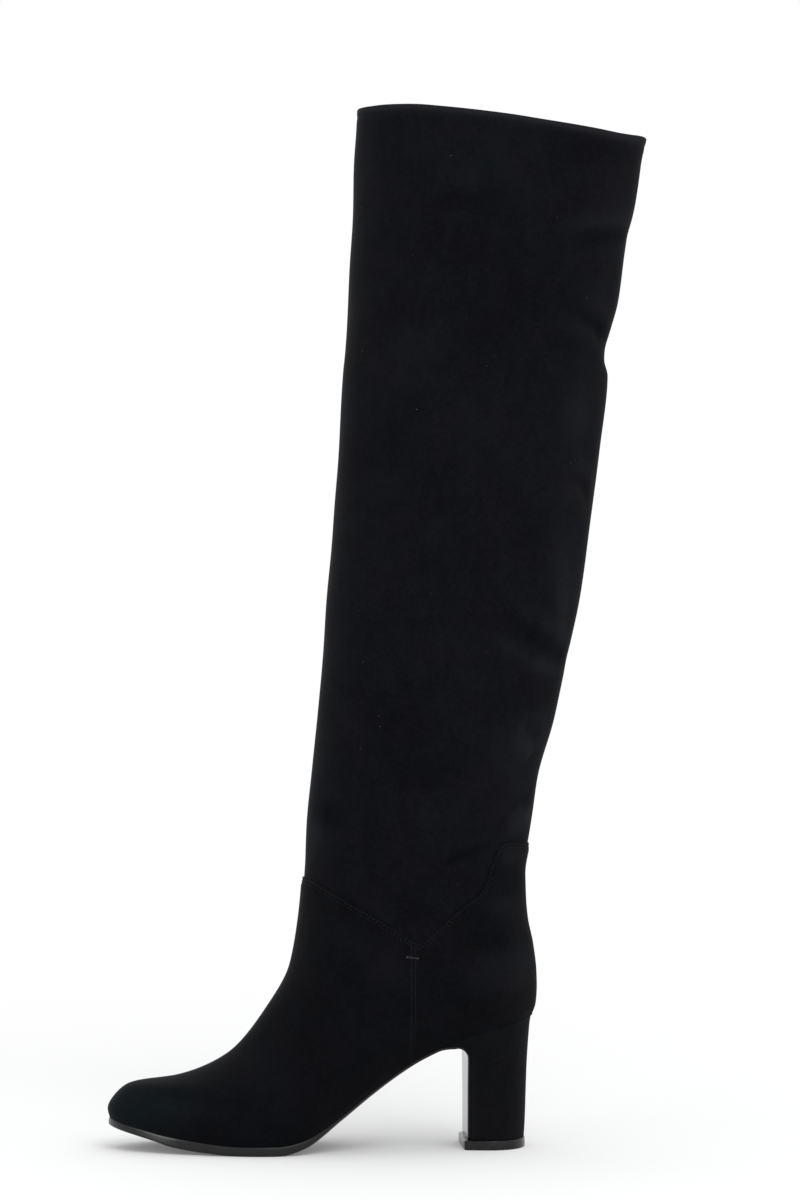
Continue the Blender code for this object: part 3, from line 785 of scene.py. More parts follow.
@dataclass(frozen=True)
class Suede:
    """Napped leather: mottled, paler on cut places, lightened or darkened by a mark on its points that holds uneven nap
    together with painted highlight on fold ridges and painted shade in creases, and bright at grazing angles.
    """

    name: str
    deep: Colour = (0.0016, 0.0019, 0.0031)
    pale: Colour = (0.0047, 0.0052, 0.0068)
    brushed_and_lit: Colour = (0.0085, 0.0092, 0.0110)
    cool: Colour = (0.87, 1.045, 1.05)
    warm: Colour = (1.11, 0.955, 1.045)
    lint: Colour = (0.080, 0.084, 0.086)
    cut: Colour = (0.022, 0.0228, 0.0256)
    # Teal tint towards the toe.
    toe_tint: Colour = (0.62, 1.10, 0.93)
    patch_size: float = 34.0
    stroke_size: float = 8.0
    stroke_stretch: tuple[float, float, float] = (1.0, 1.0, 1.5)
    tuft_size: float = 2.2
    fibre_size: float = 0.42
    tone_shares: tuple[float, ...] = (0.20, 0.20, 0.28, 0.32, 0.08)
    tone_range: Span = (0.36, 0.64)
    pale_range: Span = (0.0, 1.5)
    pale_least: float = 0.25
    tint_size: float = 24.0
    tint_range: Span = (0.35, 0.65)
    lint_spacing: float = 9.5
    lint_share: float = 0.45
    lint_edge: Span = (0.018, 0.036)
    tuft_share: float = 0.7
    stroke_share: float = 0.3
    coarse_relief: Span = (0.5, 0.45)
    fine_relief: Span = (0.16, 0.55)
    roughness: float = 0.95
    specular: float = 0.07
    sheen: float = 0.05
    sheen_tint: Colour = (0.90, 0.95, 1.0)
    sheen_roughness: float = 0.35
    press: float = 0.5

    def material(self) -> bpy.types.Material:
        """The finish as a node material."""
        nap = FinishTree(self.name)
        strokes = nap.noise(self.stroke_size, 3.0, self.stroke_stretch)
        tufts, fibres = nap.noise(self.tuft_size, 3.0), nap.noise(self.fibre_size)
        # The points' mark holds uneven nap and also painted highlight on fold ridges and painted shade in creases and
        # grooves; it shifts the tone and mixes towards the pale colour.
        pale_nap_and_shade = nap.mark("pale_nap_and_shade")
        layers = (nap.noise(self.patch_size, 3.0), strokes, tufts, fibres, pale_nap_and_shade)
        tone = nap.weighed(*zip(layers, self.tone_shares))
        colour = nap.mixed(nap.ranged(tone, *self.tone_range), self.deep, self.pale)
        pale_amount = nap.math("ADD", tufts, self.pale_least)
        pale_amount = nap.math("MULTIPLY", nap.ranged(pale_nap_and_shade, *self.pale_range), pale_amount)
        colour = nap.mixed(pale_amount, colour, self.brushed_and_lit)
        tint = nap.ranged(nap.noise(self.tint_size, 3.0), *self.tint_range)
        colour = nap.times(colour, nap.mixed(tint, self.cool, self.warm))
        colour = nap.times(colour, nap.mixed(nap.mark("toe_tint"), WHITE, self.toe_tint))
        colour = nap.mixed(self.caught(nap), colour, self.lint)
        colour = nap.mixed(nap.mark("cut"), colour, self.cut)
        coarse = nap.weighed((tufts, self.tuft_share), (strokes, self.stroke_share))
        relief = nap.bump(fibres, *self.fine_relief, nap.bump(coarse, *self.coarse_relief))
        standing = nap.ranged(nap.mark("pressed"), 0.0, 1.0, 1.0, 1.0 - self.press)
        return nap.dress(Base_Color=colour, Normal=relief, Roughness=self.roughness,
                         Sheen_Weight=nap.math("MULTIPLY", standing, self.sheen),
                         Sheen_Tint=self.sheen_tint, Sheen_Roughness=self.sheen_roughness,
                         Specular_IOR_Level=nap.math("MULTIPLY", standing, self.specular))

    def caught(self, nap: FinishTree) -> Socket:
        """Specks of lint caught in the nap, 1 on a speck."""
        cells = nap.cells(self.lint_spacing).outputs
        speck = nap.ranged(cells["Distance"], *self.lint_edge, 1.0, 0.0)
        lots = nap.add("ShaderNodeSeparateColor", {"Color": cells["Color"]}).outputs["Red"]
        return nap.math("MULTIPLY", speck, nap.ranged(lots, 1.0 - self.lint_share, 1.0))


@dataclass(frozen=True)
class SoleLeather:
    """Blackened sole leather: polished below and on the heel breast, waxed and duller at its cut edge, with a pale line
    painted along the edge as a highlight.
    """

    name: str = "sole_leather"
    polish: Colour = (0.004, 0.0042, 0.0048)
    edge: Colour = (0.0062, 0.0066, 0.0072)
    highlight_and_rubbing: Colour = (0.110, 0.113, 0.115)
    cloud_size: float = 14.0
    cloud_range: Span = (0.35, 0.7)
    worn: tuple[Colour, Colour] = ((0.8, 0.8, 0.8), (1.2, 1.2, 1.2))
    line_marks: Span = (1.2, 2.6)
    line_patches: tuple[float, float, float, float] = (0.3, 0.6, 0.5, 1.0)
    rub_size: float = 3.0
    rub_stretch: tuple[float, float, float] = (3.0, 1.0, 0.6)
    rub_dull: Span = (-0.02, 0.03)
    grain_size: float = 0.5
    grain_relief: Span = (0.05, 0.3)
    polish_roughness: float = 0.07
    edge_roughness: float = 0.34
    specular: float = 0.3

    def material(self) -> bpy.types.Material:
        """The finish as a node material."""
        hide = FinishTree(self.name)
        clouds, edge = hide.noise(self.cloud_size, 4.0), hide.mark("edge")
        # A pale line on the edge, patchy with the clouds: painted highlight.
        line = hide.ranged(edge, *self.line_marks)
        line = hide.math("MULTIPLY", line, hide.ranged(clouds, *self.line_patches))
        plain = hide.mixed(line, hide.mixed(edge, self.polish, self.edge), self.highlight_and_rubbing)
        colour = hide.times(plain, hide.mixed(hide.ranged(clouds, *self.cloud_range), *self.worn))
        rub_and_highlight = hide.ranged(hide.noise(self.rub_size, 3.0, self.rub_stretch), *CLOUDY, *self.rub_dull)
        dull = hide.math("ADD", rub_and_highlight, hide.ranged(edge, 0.0, 1.0, self.polish_roughness, self.edge_roughness))
        grain = hide.math("MULTIPLY", hide.noise(self.grain_size), edge)
        return hide.dress(Base_Color=colour, Roughness=dull, Normal=hide.bump(grain, *self.grain_relief),
                          Specular_IOR_Level=self.specular)


@dataclass(frozen=True)
class Rubber:
    """Matt moulded rubber with a fine pebble."""

    name: str = "heel_rubber"
    colour: Colour = (0.010, 0.010, 0.011)
    paler: Colour = (0.019, 0.019, 0.0205)
    cloud_size: float = 6.0
    pebble_size: float = 0.45
    pebble_relief: Span = (0.03, 0.25)
    roughness: float = 0.2
    uneven: float = 0.06
    specular: float = 0.17

    def material(self) -> bpy.types.Material:
        """The finish as a node material."""
        mould = FinishTree(self.name)
        clouds, pebble = mould.noise(self.cloud_size, 4.0), mould.noise(self.pebble_size, 1.0)
        colour = mould.mixed(mould.ranged(clouds, *CLOUDY), self.colour, self.paler)
        dull = mould.ranged(clouds, *CLOUDY, self.roughness - self.uneven, self.roughness + self.uneven)
        return mould.dress(Base_Color=colour, Roughness=dull, Normal=mould.bump(pebble, *self.pebble_relief),
                           Specular_IOR_Level=self.specular)


@dataclass(frozen=True)
class LiningLeather:
    """Smooth dark leather inside the boot, with pores and a soft grain."""

    name: str
    colour: Colour = (0.0085, 0.0082, 0.0080)
    paler: Colour = (0.016, 0.0155, 0.015)
    cloud_size: float = 18.0
    grain_size: float = 1.2
    grain_relief: Span = (0.12, 0.4)
    pore_size: float = 1.6
    pore_edge: Span = (0.0, 0.2)
    pore_relief: Span = (0.10, 0.4)
    roughness: float = 0.62
    specular: float = 0.25

    def material(self) -> bpy.types.Material:
        """The finish as a node material."""
        skin = FinishTree(self.name)
        clouds, grain = skin.noise(self.cloud_size, 4.0), skin.noise(self.grain_size, 3.0)
        pores = skin.ranged(skin.cells(self.pore_size).outputs["Distance"], *self.pore_edge)
        colour = skin.mixed(skin.ranged(clouds, *CLOUDY), self.colour, self.paler)
        relief = skin.bump(grain, *self.grain_relief, skin.bump(pores, *self.pore_relief))
        return skin.dress(Base_Color=colour, Roughness=self.roughness, Normal=relief,
                          Specular_IOR_Level=self.specular)


@dataclass(frozen=True)
class Thread:
    """Twisted sewing thread."""

    name: str
    colour: Colour = (0.0050, 0.0055, 0.0073)
    paler: Colour = (0.0140, 0.0150, 0.0182)
    twist_size: float = 0.4
    twist_stretch: tuple[float, float, float] = (0.5, 0.5, 2.0)
    twist_relief: Span = (0.12, 0.5)
    fluff_size: float = 1.4
    fluff_range: Span = (0.35, 0.65)
    roughness: float = 0.7
    specular: float = 0.1

    def material(self) -> bpy.types.Material:
        """The finish as a node material."""
        yarn = FinishTree(self.name)
        twist = yarn.noise(self.twist_size, stretch=self.twist_stretch)
        fluff = yarn.ranged(yarn.noise(self.fluff_size), *self.fluff_range)
        return yarn.dress(Base_Color=yarn.mixed(fluff, self.colour, self.paler), Roughness=self.roughness,
                          Normal=yarn.bump(twist, *self.twist_relief), Specular_IOR_Level=self.specular)


@dataclass
class Upper:
    """Foot part: vamp and back quarter sewn together on both sides, with a V-shaped top line."""

    form: BootForm
    finish: bpy.types.Material
    inside: float = 0.3
    outside: float = 1.7
    below: float = 0.25
    sharp: float = 0.06
    column_step: float = 1.3
    seam_columns: tuple[float, ...] = (0.18, 0.36, 0.58, 0.85, 1.2, 1.7, 2.3, 3.0)
    rows: int = 118
    row_ease: float = 0.45
    low_rows: tuple[float, ...] = (0.0006, 0.0018)
    inner_rows: int = 26
    rim_steps: int = 7
    rim_rise: float = 0.4
    rim_cut: float = 0.1
    skive: float = 0.75
    skive_high: float = 5.0
    tuck: float = 0.05
    tuck_high: float = 0.5
    heel_from: Span = (38.0, 46.0)
    seam_depth: float = 0.42
    seam_width: float = 0.42
    ridge: float = 0.12
    ridge_off: float = 0.9
    ridge_width: float = 0.45
    stitch_dent: float = 0.16
    stitch_width: float = 0.5
    stitch_drops: Span = (1.1, 2.6)
    skin_share: float = 0.6
    skin_high: float = 10.0
    toe_pale: float = 0.6
    toe_from: Span = (-90.0, -145.0)
    seam_pale: float = 0.8
    seam_pale_off: float = 0.95
    seam_pale_width: float = 0.4
    fade_from: Span = (-75.0, -140.0)

    def build(self) -> bpy.types.Object:
        """Make the foot part.

        Returns:
            The piece that stands for the upper.
        """
        columns = columns_around(self.column_step, (90.0,), self.seam_columns)
        top = self.form.station_at(columns.angle, self.rim_rise, warped=True)
        outer = self.outer(columns, top)
        rings = np.concatenate([outer, self.rim(columns, top), self.inner(columns, top)])
        cut = np.zeros(rings.shape[:2])
        cut[len(outer) - 1:len(outer) + self.rim_steps] = self.rim_cut
        # A mark that tints the suede teal towards the toe.
        marks = {"cut": cut, "pale_nap_and_shade": self.pale_nap_and_shade(rings), "toe_tint": smooth_step(*self.fade_from, rings[..., 0]),
                 "pressed": np.broadcast_to(columns.pressed, cut.shape)}
        piece = make_piece("upper_suede", rings, self.finish, True, marks)
        seat_piece(piece, "upper")
        return piece

    def outer(self, columns: Columns, top: np.ndarray) -> Grid:
        """Outer face, from its lower edge on sole and heel up to the top line.

        Args:
            columns: Columns around the boot.
            top: Station of the top line, one per column.

        Returns:
            Points, row by row.
        """
        line = self.form.points(self.form.seam_warp(columns.angle, top), top, columns.side)
        along = np.roll(line, -1, axis=0) - np.roll(line, 1, axis=0)
        level = np.hypot(along[:, 0], along[:, 1]) / np.linalg.norm(along, axis=1)
        share = np.linspace(0.0, 1.0, self.rows)
        share = (1 - self.row_ease) * share + self.row_ease * (1 - np.cos(math.pi * share)) / 2
        share = np.concatenate([share[:1], share[:1], self.low_rows, share[1:]])[:, None]
        face = self.face(columns, top * share, (1 - share) * top * level)
        x, z = face[0, :, 0], face[0, :, 2]
        over_heel = smooth_step(*self.heel_from, x)
        seat_z = self.form.feather_z(x) - self.below
        face[0, :, 2] += (seat_z - z) * over_heel - self.below * (1 - over_heel)
        face[1, :, 2] = face[0, :, 2] + self.sharp
        return face

    def rim(self, columns: Columns, top: np.ndarray) -> Grid:
        """Rounded cut edge along the top line, as thin as the wall is skived.

        Args:
            columns: Columns around the boot.
            top: Station of the top line, one per column.

        Returns:
            Points, row by row.
        """
        turn = rim_turns(self.rim_steps)
        edge = self.outside - self.skive
        middle, half = (self.inside + edge) / 2, (edge - self.inside) / 2
        station = np.broadcast_to(top, (self.rim_steps, len(top)))
        rim = self.form.lifted(self.form.seam_warp(columns.angle, top), station, columns.side,
                               middle + half * np.cos(turn))
        rim[..., 2] += self.rim_rise * np.sin(turn)
        return rim

    def inner(self, columns: Columns, top: np.ndarray) -> Grid:
        """Inner face, from the top line down to the lower edge.

        Args:
            columns: Columns around the boot.
            top: Station of the top line, one per column.

        Returns:
            Points, row by row.
        """
        station = top * np.linspace(1.0, 0.0, self.inner_rows)[:, None]
        face = self.form.lifted(self.form.seam_warp(columns.angle, station), station, columns.side, self.inside)
        face[-1, :, 2] -= self.below
        return face

    def face(self, columns: Columns, station: np.ndarray, down: np.ndarray) -> Grid:
        """Outer face of the foot part with its seam grooves.

        Args:
            columns: Columns around the boot.
            station: Stations, row by row.
            down: Distances from the top line, square to it.

        Returns:
            Points, row by row.
        """
        angle = self.form.seam_warp(columns.angle, station)
        place = self.form.points(angle, station, columns.side)
        off_seam = np.abs(place[..., 0] - self.form.seam_x)
        lift = self.outside - self.skived(down) - self.tuck * bell(station, self.tuck_high)
        lift -= self.seam_depth * bell(off_seam, self.seam_width)
        lift += self.ridge * bell(off_seam, self.ridge_width, self.ridge_off)
        for drop in self.stitch_drops:
            lift -= self.stitch_dent * bell(down, self.stitch_width, drop)
        lift += self.skin(columns.around, station, place[..., 2])
        return place + self.form.outward(angle, station, columns.side) * lift[..., None]

    def skin(self, around: np.ndarray, station: np.ndarray, z: np.ndarray) -> np.ndarray:
        """Slow unevenness of the outer face, none at the feather line."""
        return self.skin_share * smooth_step(0.0, self.skin_high, station) * skin_height(around, z)

    def skived(self, down: np.ndarray | float) -> np.ndarray:
        """How much the wall is thinned at a distance down from the top line."""
        return self.skive * (1 - smooth_step(0.0, self.skive_high, down))

    def pale_nap_and_shade(self, rings: Grid) -> np.ndarray:
        """How pale the nap is drawn: paler towards the toe and on both sides of the side seam, with pale and dark
        patches on the outer side that are partly painted highlight and shade.
        """
        x = rings[..., 0]
        toe = self.toe_pale * smooth_step(*self.toe_from, x)
        beside = self.seam_pale * bell(np.abs(x - self.form.seam_x), self.seam_pale_width, self.seam_pale_off)
        brushed_and_lit = sum(patch.share(x, rings[..., 2]) for patch in FOOT_NAP_AND_LIGHT)
        return toe + beside + brushed_and_lit * (rings[..., 1] < 0)


@dataclass
class Shaft:
    """Leg tube: one skin with soft creases, a turned-in collar edge and a closed seam down its back."""

    form: BootForm
    finish: bpy.types.Material
    wall: float = 1.6
    lap: float = 9.0
    column_step: float = 1.6
    seam_columns: tuple[float, ...] = (0.35, 0.7, 1.1, 1.6, 2.3, 3.2)
    rows: int = 270
    hem_rows: int = 6
    hem_fine_rows: int = 16
    inner_rows: int = 44
    rim_steps: int = 7
    free_above: Span = (0.0, 16.0)
    free_below: Span = (2.0, 18.0)
    hem: float = 4.6
    hem_soft: float = 2.0
    hem_swell: float = 0.12
    hem_line: float = 0.16
    hem_line_width: float = 1.3
    hem_band: float = 0.55
    hem_band_behind: float = 0.6
    behind_from: Span = (105.0, 165.0)
    rim_rise: float = 0.5
    rim_pale: float = 1.2
    rim_cut: float = 0.36
    rim_worn: float = 3.4
    fold_painted_light: float = 0.7
    fold_painted_light_most: float = 1.2
    corner_flare: float = 1.0
    corner_high: float = 14.0
    corner_from: Span = (158.0, 178.0)
    back_seam: float = 0.45
    back_seam_width: float = 0.7
    back_ridge: float = 0.25
    back_ridge_off: float = 1.9
    back_ridge_width: float = 1.1
    front_off: float = 60.0
    back_fade: float = 0.88
    back_from: Span = (150.0, 174.0)

    def build(self) -> bpy.types.Object:
        """Make the leg tube.

        Returns:
            The piece that stands for the shaft.
        """
        columns = columns_around(self.column_step, (180.0,), self.seam_columns)
        low = self.form.station_at(columns.angle, self.lap, warped=False)
        high = self.form.collar - self.rim_rise
        share = np.linspace(0.0, 1.0, self.rows)
        fine = np.linspace(share[-self.hem_rows], 1.0, self.hem_fine_rows)
        share = np.concatenate([share[:-self.hem_rows], fine])
        station = low + (high - low) * share[:, None]
        height = self.relief(columns, station)
        outer = self.form.lifted(columns.angle, station, columns.side, height)
        turn = rim_turns(self.rim_steps)
        rim_lift = self.wall / 2 * (np.cos(turn) - 1.0) + height[-1] * (1 + np.cos(turn)) / 2
        rim = self.form.lifted(columns.angle, high + self.rim_rise * np.sin(turn), columns.side, rim_lift)
        inner_share = np.linspace(1.0, 0.0, self.inner_rows)
        inner_station = low + (high - low) * inner_share[:, None]
        inner_lift = np.stack([np.interp(inner_share, share, column) for column in height.T], axis=1) - self.wall
        inner_lift[0] = -self.wall
        inner = self.form.lifted(columns.angle, inner_station, columns.side, inner_lift)
        rings = np.concatenate([outer, rim, inner])
        pale_nap_and_shade, cut = np.zeros(rings.shape[:2]), np.zeros(rings.shape[:2])
        on_outer, on_rim = slice(len(outer)), slice(len(outer), len(outer) + self.rim_steps)
        pale_nap_and_shade[on_outer], pale_nap_and_shade[on_rim] = self.pale_nap_and_shade(columns, station, height), self.rim_pale
        cut[on_outer], cut[on_rim] = self.rim_cut * bell(high - station, self.rim_worn), self.rim_cut
        marks = {"pale_nap_and_shade": pale_nap_and_shade, "cut": cut, "pressed": np.broadcast_to(columns.pressed, cut.shape)}
        piece = make_piece("shaft_suede", rings, self.finish, True, marks)
        seat_piece(piece, "shaft")
        return piece

    def relief(self, columns: Columns, station: np.ndarray) -> np.ndarray:
        """Height of creases, skin, hem and back seam over the plain leg.

        Args:
            columns: Columns around the boot.
            station: Stations, row by row.

        Returns:
            Heights in millimetres.
        """
        around = np.broadcast_to(columns.around, station.shape)
        place = self.form.points(columns.angle, station, columns.side)
        z, to_edge = place[..., 2], self.form.collar - station
        free = smooth_step(*self.free_above, z - self.form.top_z(columns.angle))
        free = free * smooth_step(*self.free_below, to_edge)
        height = skin_height(around, z)
        for fold in SHAFT_FOLDS:
            height = height + fold.height(around, z)
        height = height * free * (1 - self.back_fade * smooth_step(*self.back_from, columns.angle))
        height += self.hem_swell * (1 - smooth_step(self.hem - self.hem_soft, self.hem, to_edge))
        height -= self.hem_line * bell(to_edge, self.hem_line_width, self.hem)
        flare = self.corner_flare * smooth_step(*self.corner_from, columns.angle)
        height += flare * (1 - smooth_step(0.0, self.corner_high, to_edge))
        off_seam = np.abs(place[..., 1]) + self.front_off * (columns.angle < 90.0)
        height -= self.back_seam * bell(off_seam, self.back_seam_width)
        height += self.back_ridge * bell(off_seam, self.back_ridge_width, self.back_ridge_off)
        return height

    def pale_nap_and_shade(self, columns: Columns, station: np.ndarray, height: np.ndarray) -> np.ndarray:
        """How pale the nap is drawn: painted highlight where the relief stands up and painted shade in creases and
        grooves, pale and dark patches that are partly painted light and shade, and a pale band along the hem that
        widens towards the back.

        Args:
            columns: Columns around the boot.
            station: Stations, row by row.
            height: Relief at the same places.

        Returns:
            Paleness, 0 for a plain place.
        """
        behind = smooth_step(*self.behind_from, columns.angle)
        band = self.hem_band * self.hem + self.hem_band_behind * self.hem * behind
        hem = 1 - smooth_step(0.0, 1.0, (self.form.collar - station) / band - 0.5)
        place = self.form.points(columns.angle, station, columns.side)
        brushed_and_lit = sum(patch.share(place[..., 0], place[..., 2]) for patch in SHAFT_NAP_AND_LIGHT)
        # Painted light from the relief: paler where it stands up, darker in creases, grooves and dents.
        relief_light_and_shade = np.clip(self.fold_painted_light * height, -self.fold_painted_light_most, self.fold_painted_light_most)
        return relief_light_and_shade + brushed_and_lit * (columns.side < 0) + hem


@dataclass
class Lining:
    """Thin leather lining inside shaft and foot, from below the collar to the insole."""

    form: BootForm
    finish: bpy.types.Material
    below_collar: float = 13.0
    above_feather: float = 3.6
    in_leg: float = 1.75
    in_foot: float = 0.15
    leg_from: Span = (-22.0, -10.0)
    crease_from: Span = (0.0, 20.0)
    thick: float = 0.7
    column_step: float = 3.0
    rows: int = 150

    def build(self) -> bpy.types.Object:
        """Make the lining.

        Returns:
            The piece, which stands for no node.
        """
        columns = columns_around(self.column_step)
        top = self.form.station_at(columns.angle, 0.0, warped=False)
        long = self.form.collar - self.below_collar - self.above_feather
        station = self.above_feather + long * np.linspace(0.0, 1.0, self.rows)[:, None]
        station = np.broadcast_to(station, (self.rows, len(top)))
        depth = self.in_foot + (self.in_leg - self.in_foot) * smooth_step(*self.leg_from, station - top)
        creases = Shaft(self.form, self.finish).relief(columns, station)
        lift = creases * smooth_step(*self.crease_from, station - top) - depth
        outer = self.form.lifted(columns.angle, station, columns.side, lift)
        inner = self.form.lifted(columns.angle, station, columns.side, lift - self.thick)
        piece = make_piece("boot_lining", np.concatenate([outer, inner[::-1]]), self.finish, True)
        seat_piece(piece)
        return piece


class SoleRow(NamedTuple):
    """Sole at a place along the foot: thickness, edge outside the last, rounded lower edge, upright share."""

    x: float
    thickness: float
    margin: float
    chamfer: float
    edge_share: float


class FlapRow(NamedTuple):
    """Flap on the heel breast at a height: half width and thickness."""

    z: float
    half: float
    thickness: float


SOLE_ROWS = (
    SoleRow(-150.0, 4.0, 1.6, 0.7, 0.55),
    SoleRow(-122.0, 4.5, 1.6, 0.7, 0.55),
    SoleRow(-112.0, 5.5, 1.6, 0.7, 0.55),
    SoleRow(-101.0, 5.7, 1.6, 0.7, 0.55),
    SoleRow(-92.0, 5.45, 1.6, 0.7, 0.55),
    SoleRow(-76.0, 5.35, 1.6, 0.7, 0.55),
    SoleRow(-56.0, 5.35, 1.6, 0.7, 0.55),
    SoleRow(-48.0, 5.0, 1.5, 1.0, 0.53),
    SoleRow(-38.0, 4.1, 1.2, 2.8, 0.4),
    SoleRow(-22.0, 2.8, 0.6, 5.0, 0.2),
    SoleRow(0.0, 2.6, 0.0, 5.0, 0.2),
    SoleRow(24.0, 2.0, -0.6, 3.0, 0.2),
    SoleRow(40.0, 1.2, -1.4, 1.0, 0.2),
)

FLAP_ROWS = (
    FlapRow(5.3, 18.4, 0.9),
    FlapRow(30.0, 18.8, 0.9),
    FlapRow(50.0, 20.6, 0.9),
)


@dataclass
class Outsole:
    """Leather sole: toe spring, flat tread with a closed channel, thin waist, flap down the heel breast."""

    form: BootForm
    finish: bpy.types.Material
    gap: float = 0.3
    last_angle: float = 122.0
    front_steps: int = 130
    front_ease: float = 1.25
    waist_steps: int = 10
    bend_steps: int = 14
    flap_steps: int = 16
    tread_ends: Span = (-52.0, -24.0)
    toe_highlight_x: float = -121.0
    toe_highlight_long: float = 11.0
    # Marks above 1 call up the line of painted highlight, on the top bevel and near the toe.
    edge_marks: Table = ((0.4, 1.6), (0.0, 0.8), (0.2, 0.5))
    round_marks: Table = ((22.5, 0.96), (45.0, 0.75), (67.5, 0.25), (90.0, 0.0))
    top_in: float = 3.0
    edge_bulge: float = 0.14
    bevel: float = 0.5
    bevel_most: float = 0.6
    bevel_soft: Table = ((0.1, 0.0), (0.04, 0.02), (0.0, 0.06))
    soft: float = 0.06
    flap_face_x: float = 49.7
    flap_bend_r: float = 6.6
    flap_chamfer: float = 0.5
    flap_edge_share: float = 0.2
    channel_in: float = 3.4
    channel_deep: float = 0.35
    channel_half: float = 0.35

    def __post_init__(self) -> None:
        """Turn the tables into curves and find where the sole leaves the last."""
        self.sizes = SmoothCurve([row.x for row in SOLE_ROWS], [row[1:] for row in SOLE_ROWS])
        self.flap_sizes = SmoothCurve([row.z for row in FLAP_ROWS], [row[1:] for row in FLAP_ROWS])
        self.bend_x = self.flap_face_x - self.flap_bend_r
        self.bend_z = FLAP_ROWS[-1].z
        self.leave_x = self.place(self.last_angle, 0.0)[0]

    def place(self, angle: float, margin: float) -> tuple[float, float]:
        """Where a rung of the sole lies along the foot, and its half width, for an edge margin."""
        loop = self.form.loops(0.0)
        along = (1 - math.cos(math.radians(angle))) / 2
        x = loop[0] - margin + (loop[2] - loop[0] + 2 * margin) * along
        spread = self.form.spread(loop[None, 6:], np.array([angle]))[0]
        return float(x), float(math.sin(math.radians(angle)) * (spread + margin))

    def top_z(self, x: float) -> float:
        """Upper face of the sole: under the last, then levelling out towards the bend."""
        share = max(0.0, (x - self.leave_x) / (self.bend_x - self.leave_x))
        leave_z = self.form.feather_z(self.leave_x)
        slope = (leave_z - self.form.feather_z(self.leave_x - 1.0)) * (self.bend_x - self.leave_x)
        climb = (self.bend_z + self.flap_bend_r - leave_z + self.gap) * share ** 2 * (3 - 2 * share)
        start = self.form.feather_z(min(x, self.leave_x)) - self.gap
        return float(start + slope * (share - 2 * share ** 2 + share ** 3) + climb)

    def down(self, x: float) -> np.ndarray:
        """Unit vector in X and Z, square to the sole's face and pointing down."""
        slope = self.top_z(x + 0.5) - self.top_z(x - 0.5)
        return np.array([slope, -1.0]) / math.hypot(1.0, slope)

    def profile(self, thickness: float, chamfer: float, edge_share: float, tread: float,
                rub_and_highlight: float = 0.0) -> list[Spot]:
        """Half of the sole's section, from the top to the middle of the bottom.

        Args:
            thickness: Thickness of the sole.
            chamfer: Width of the rounded lower edge.
            edge_share: Share of the thickness that stays upright above it.
            tread: 1 under the tread, 0 in the thin waist and the flap.
            rub_and_highlight: How much stronger the painted highlight along the edge is, 0 to 1, most near the toe tip.

        Returns:
            Insets from the edge, depths below the top, and a mark: 1 on the cut edge, more where a pale line is painted
            as a highlight: on the top bevel, and most near the toe tip.
        """
        edge = thickness * edge_share
        bevel, channel = min(self.bevel, edge * self.bevel_most) * tread, self.channel_deep * tread
        top, side, low = (tread * (1.0 + base + share * rub_and_highlight) for base, share in self.edge_marks)
        points = [(self.top_in, 0.0, 0.0)]
        for share, (run, drop) in zip((0.0, 0.5, 1.0), self.bevel_soft):
            points.append(((1 - share) * bevel + run, share * bevel + drop, top))
        points.append((-self.edge_bulge * tread, (bevel + edge + self.soft) / 2, side))
        points.append((0.0, edge + self.soft, low))
        for turn, mark in self.round_marks:
            away, down = 1 - math.cos(math.radians(turn)), math.sin(math.radians(turn))
            points.append((chamfer * away, edge + self.soft + (thickness - edge - self.soft) * down, mark * low))
        line = chamfer + self.channel_in
        for off, depth in ((-self.channel_half, 0.0), (0.0, channel), (self.channel_half, 0.0)):
            points.append((line + off, thickness - depth, 0.0))
        return points

    def build(self) -> bpy.types.Object:
        """Make the sole.

        Returns:
            The piece that stands for the outsole.
        """
        rings, edges = [], []

        def add(spots: list[Spot], marks: list[float], middle: float) -> None:
            """Keep one section with its edge marks, both given for its half."""
            rings.append(both_sides(spots, middle))
            edges.append(marks + marks[::-1])

        for angle in self.last_angle * np.linspace(0.0, 1.0, self.front_steps) ** self.front_ease:
            thickness, margin, chamfer, edge_share = self.sizes(self.place(angle, 0.0)[0])
            x = self.place(angle, margin)[0]
            normal, top = self.down(x), self.top_z(x)
            tread = 1 - float(smooth_step(*self.tread_ends, np.array(x)))
            # Painted highlight along the edge, strongest at the toe tip.
            rub_and_highlight = float(bell(x, self.toe_highlight_long, self.toe_highlight_x))
            half_profile = self.profile(thickness, chamfer, edge_share, tread, rub_and_highlight)
            spots = []
            for inset, depth, _ in half_profile:
                along, half = self.place(angle, margin - inset)
                spots.append((along + normal[0] * depth, half, self.top_z(along) + normal[1] * depth))
            add(spots, [mark for _, _, mark in half_profile], float(self.form.swing_y(x)))
        waist_half = self.place(self.last_angle, margin)[1]
        bend_half, bend_thick = self.flap_sizes(self.bend_z)
        for share in np.linspace(0.0, 1.0, self.waist_steps + 1)[1:-1]:
            x = self.leave_x + (self.bend_x - self.leave_x) * share
            thickness = self.sizes(x)[0]
            chamfer_here = chamfer + (self.flap_chamfer - chamfer) * share
            half = waist_half + (bend_half - waist_half) * share
            self.plain_section(add, x, self.top_z(x), self.down(x), half, thickness, chamfer_here,
                               float(self.form.swing_y(x)) * (1 - share))
        for turn in np.radians(np.linspace(0.0, 90.0, self.bend_steps)):
            normal = np.array([-math.sin(turn), -math.cos(turn)])
            x, z = self.bend_x - normal[0] * self.flap_bend_r, self.bend_z - normal[1] * self.flap_bend_r
            self.plain_section(add, x, z, normal, bend_half, bend_thick, self.flap_chamfer, 0.0)
        for z in np.linspace(self.bend_z, FLAP_ROWS[0].z, self.flap_steps)[1:]:
            half, thickness = self.flap_sizes(z)
            normal = np.array([-1.0, 0.0])
            self.plain_section(add, self.flap_face_x, z, normal, half, thickness, self.flap_chamfer, 0.0)
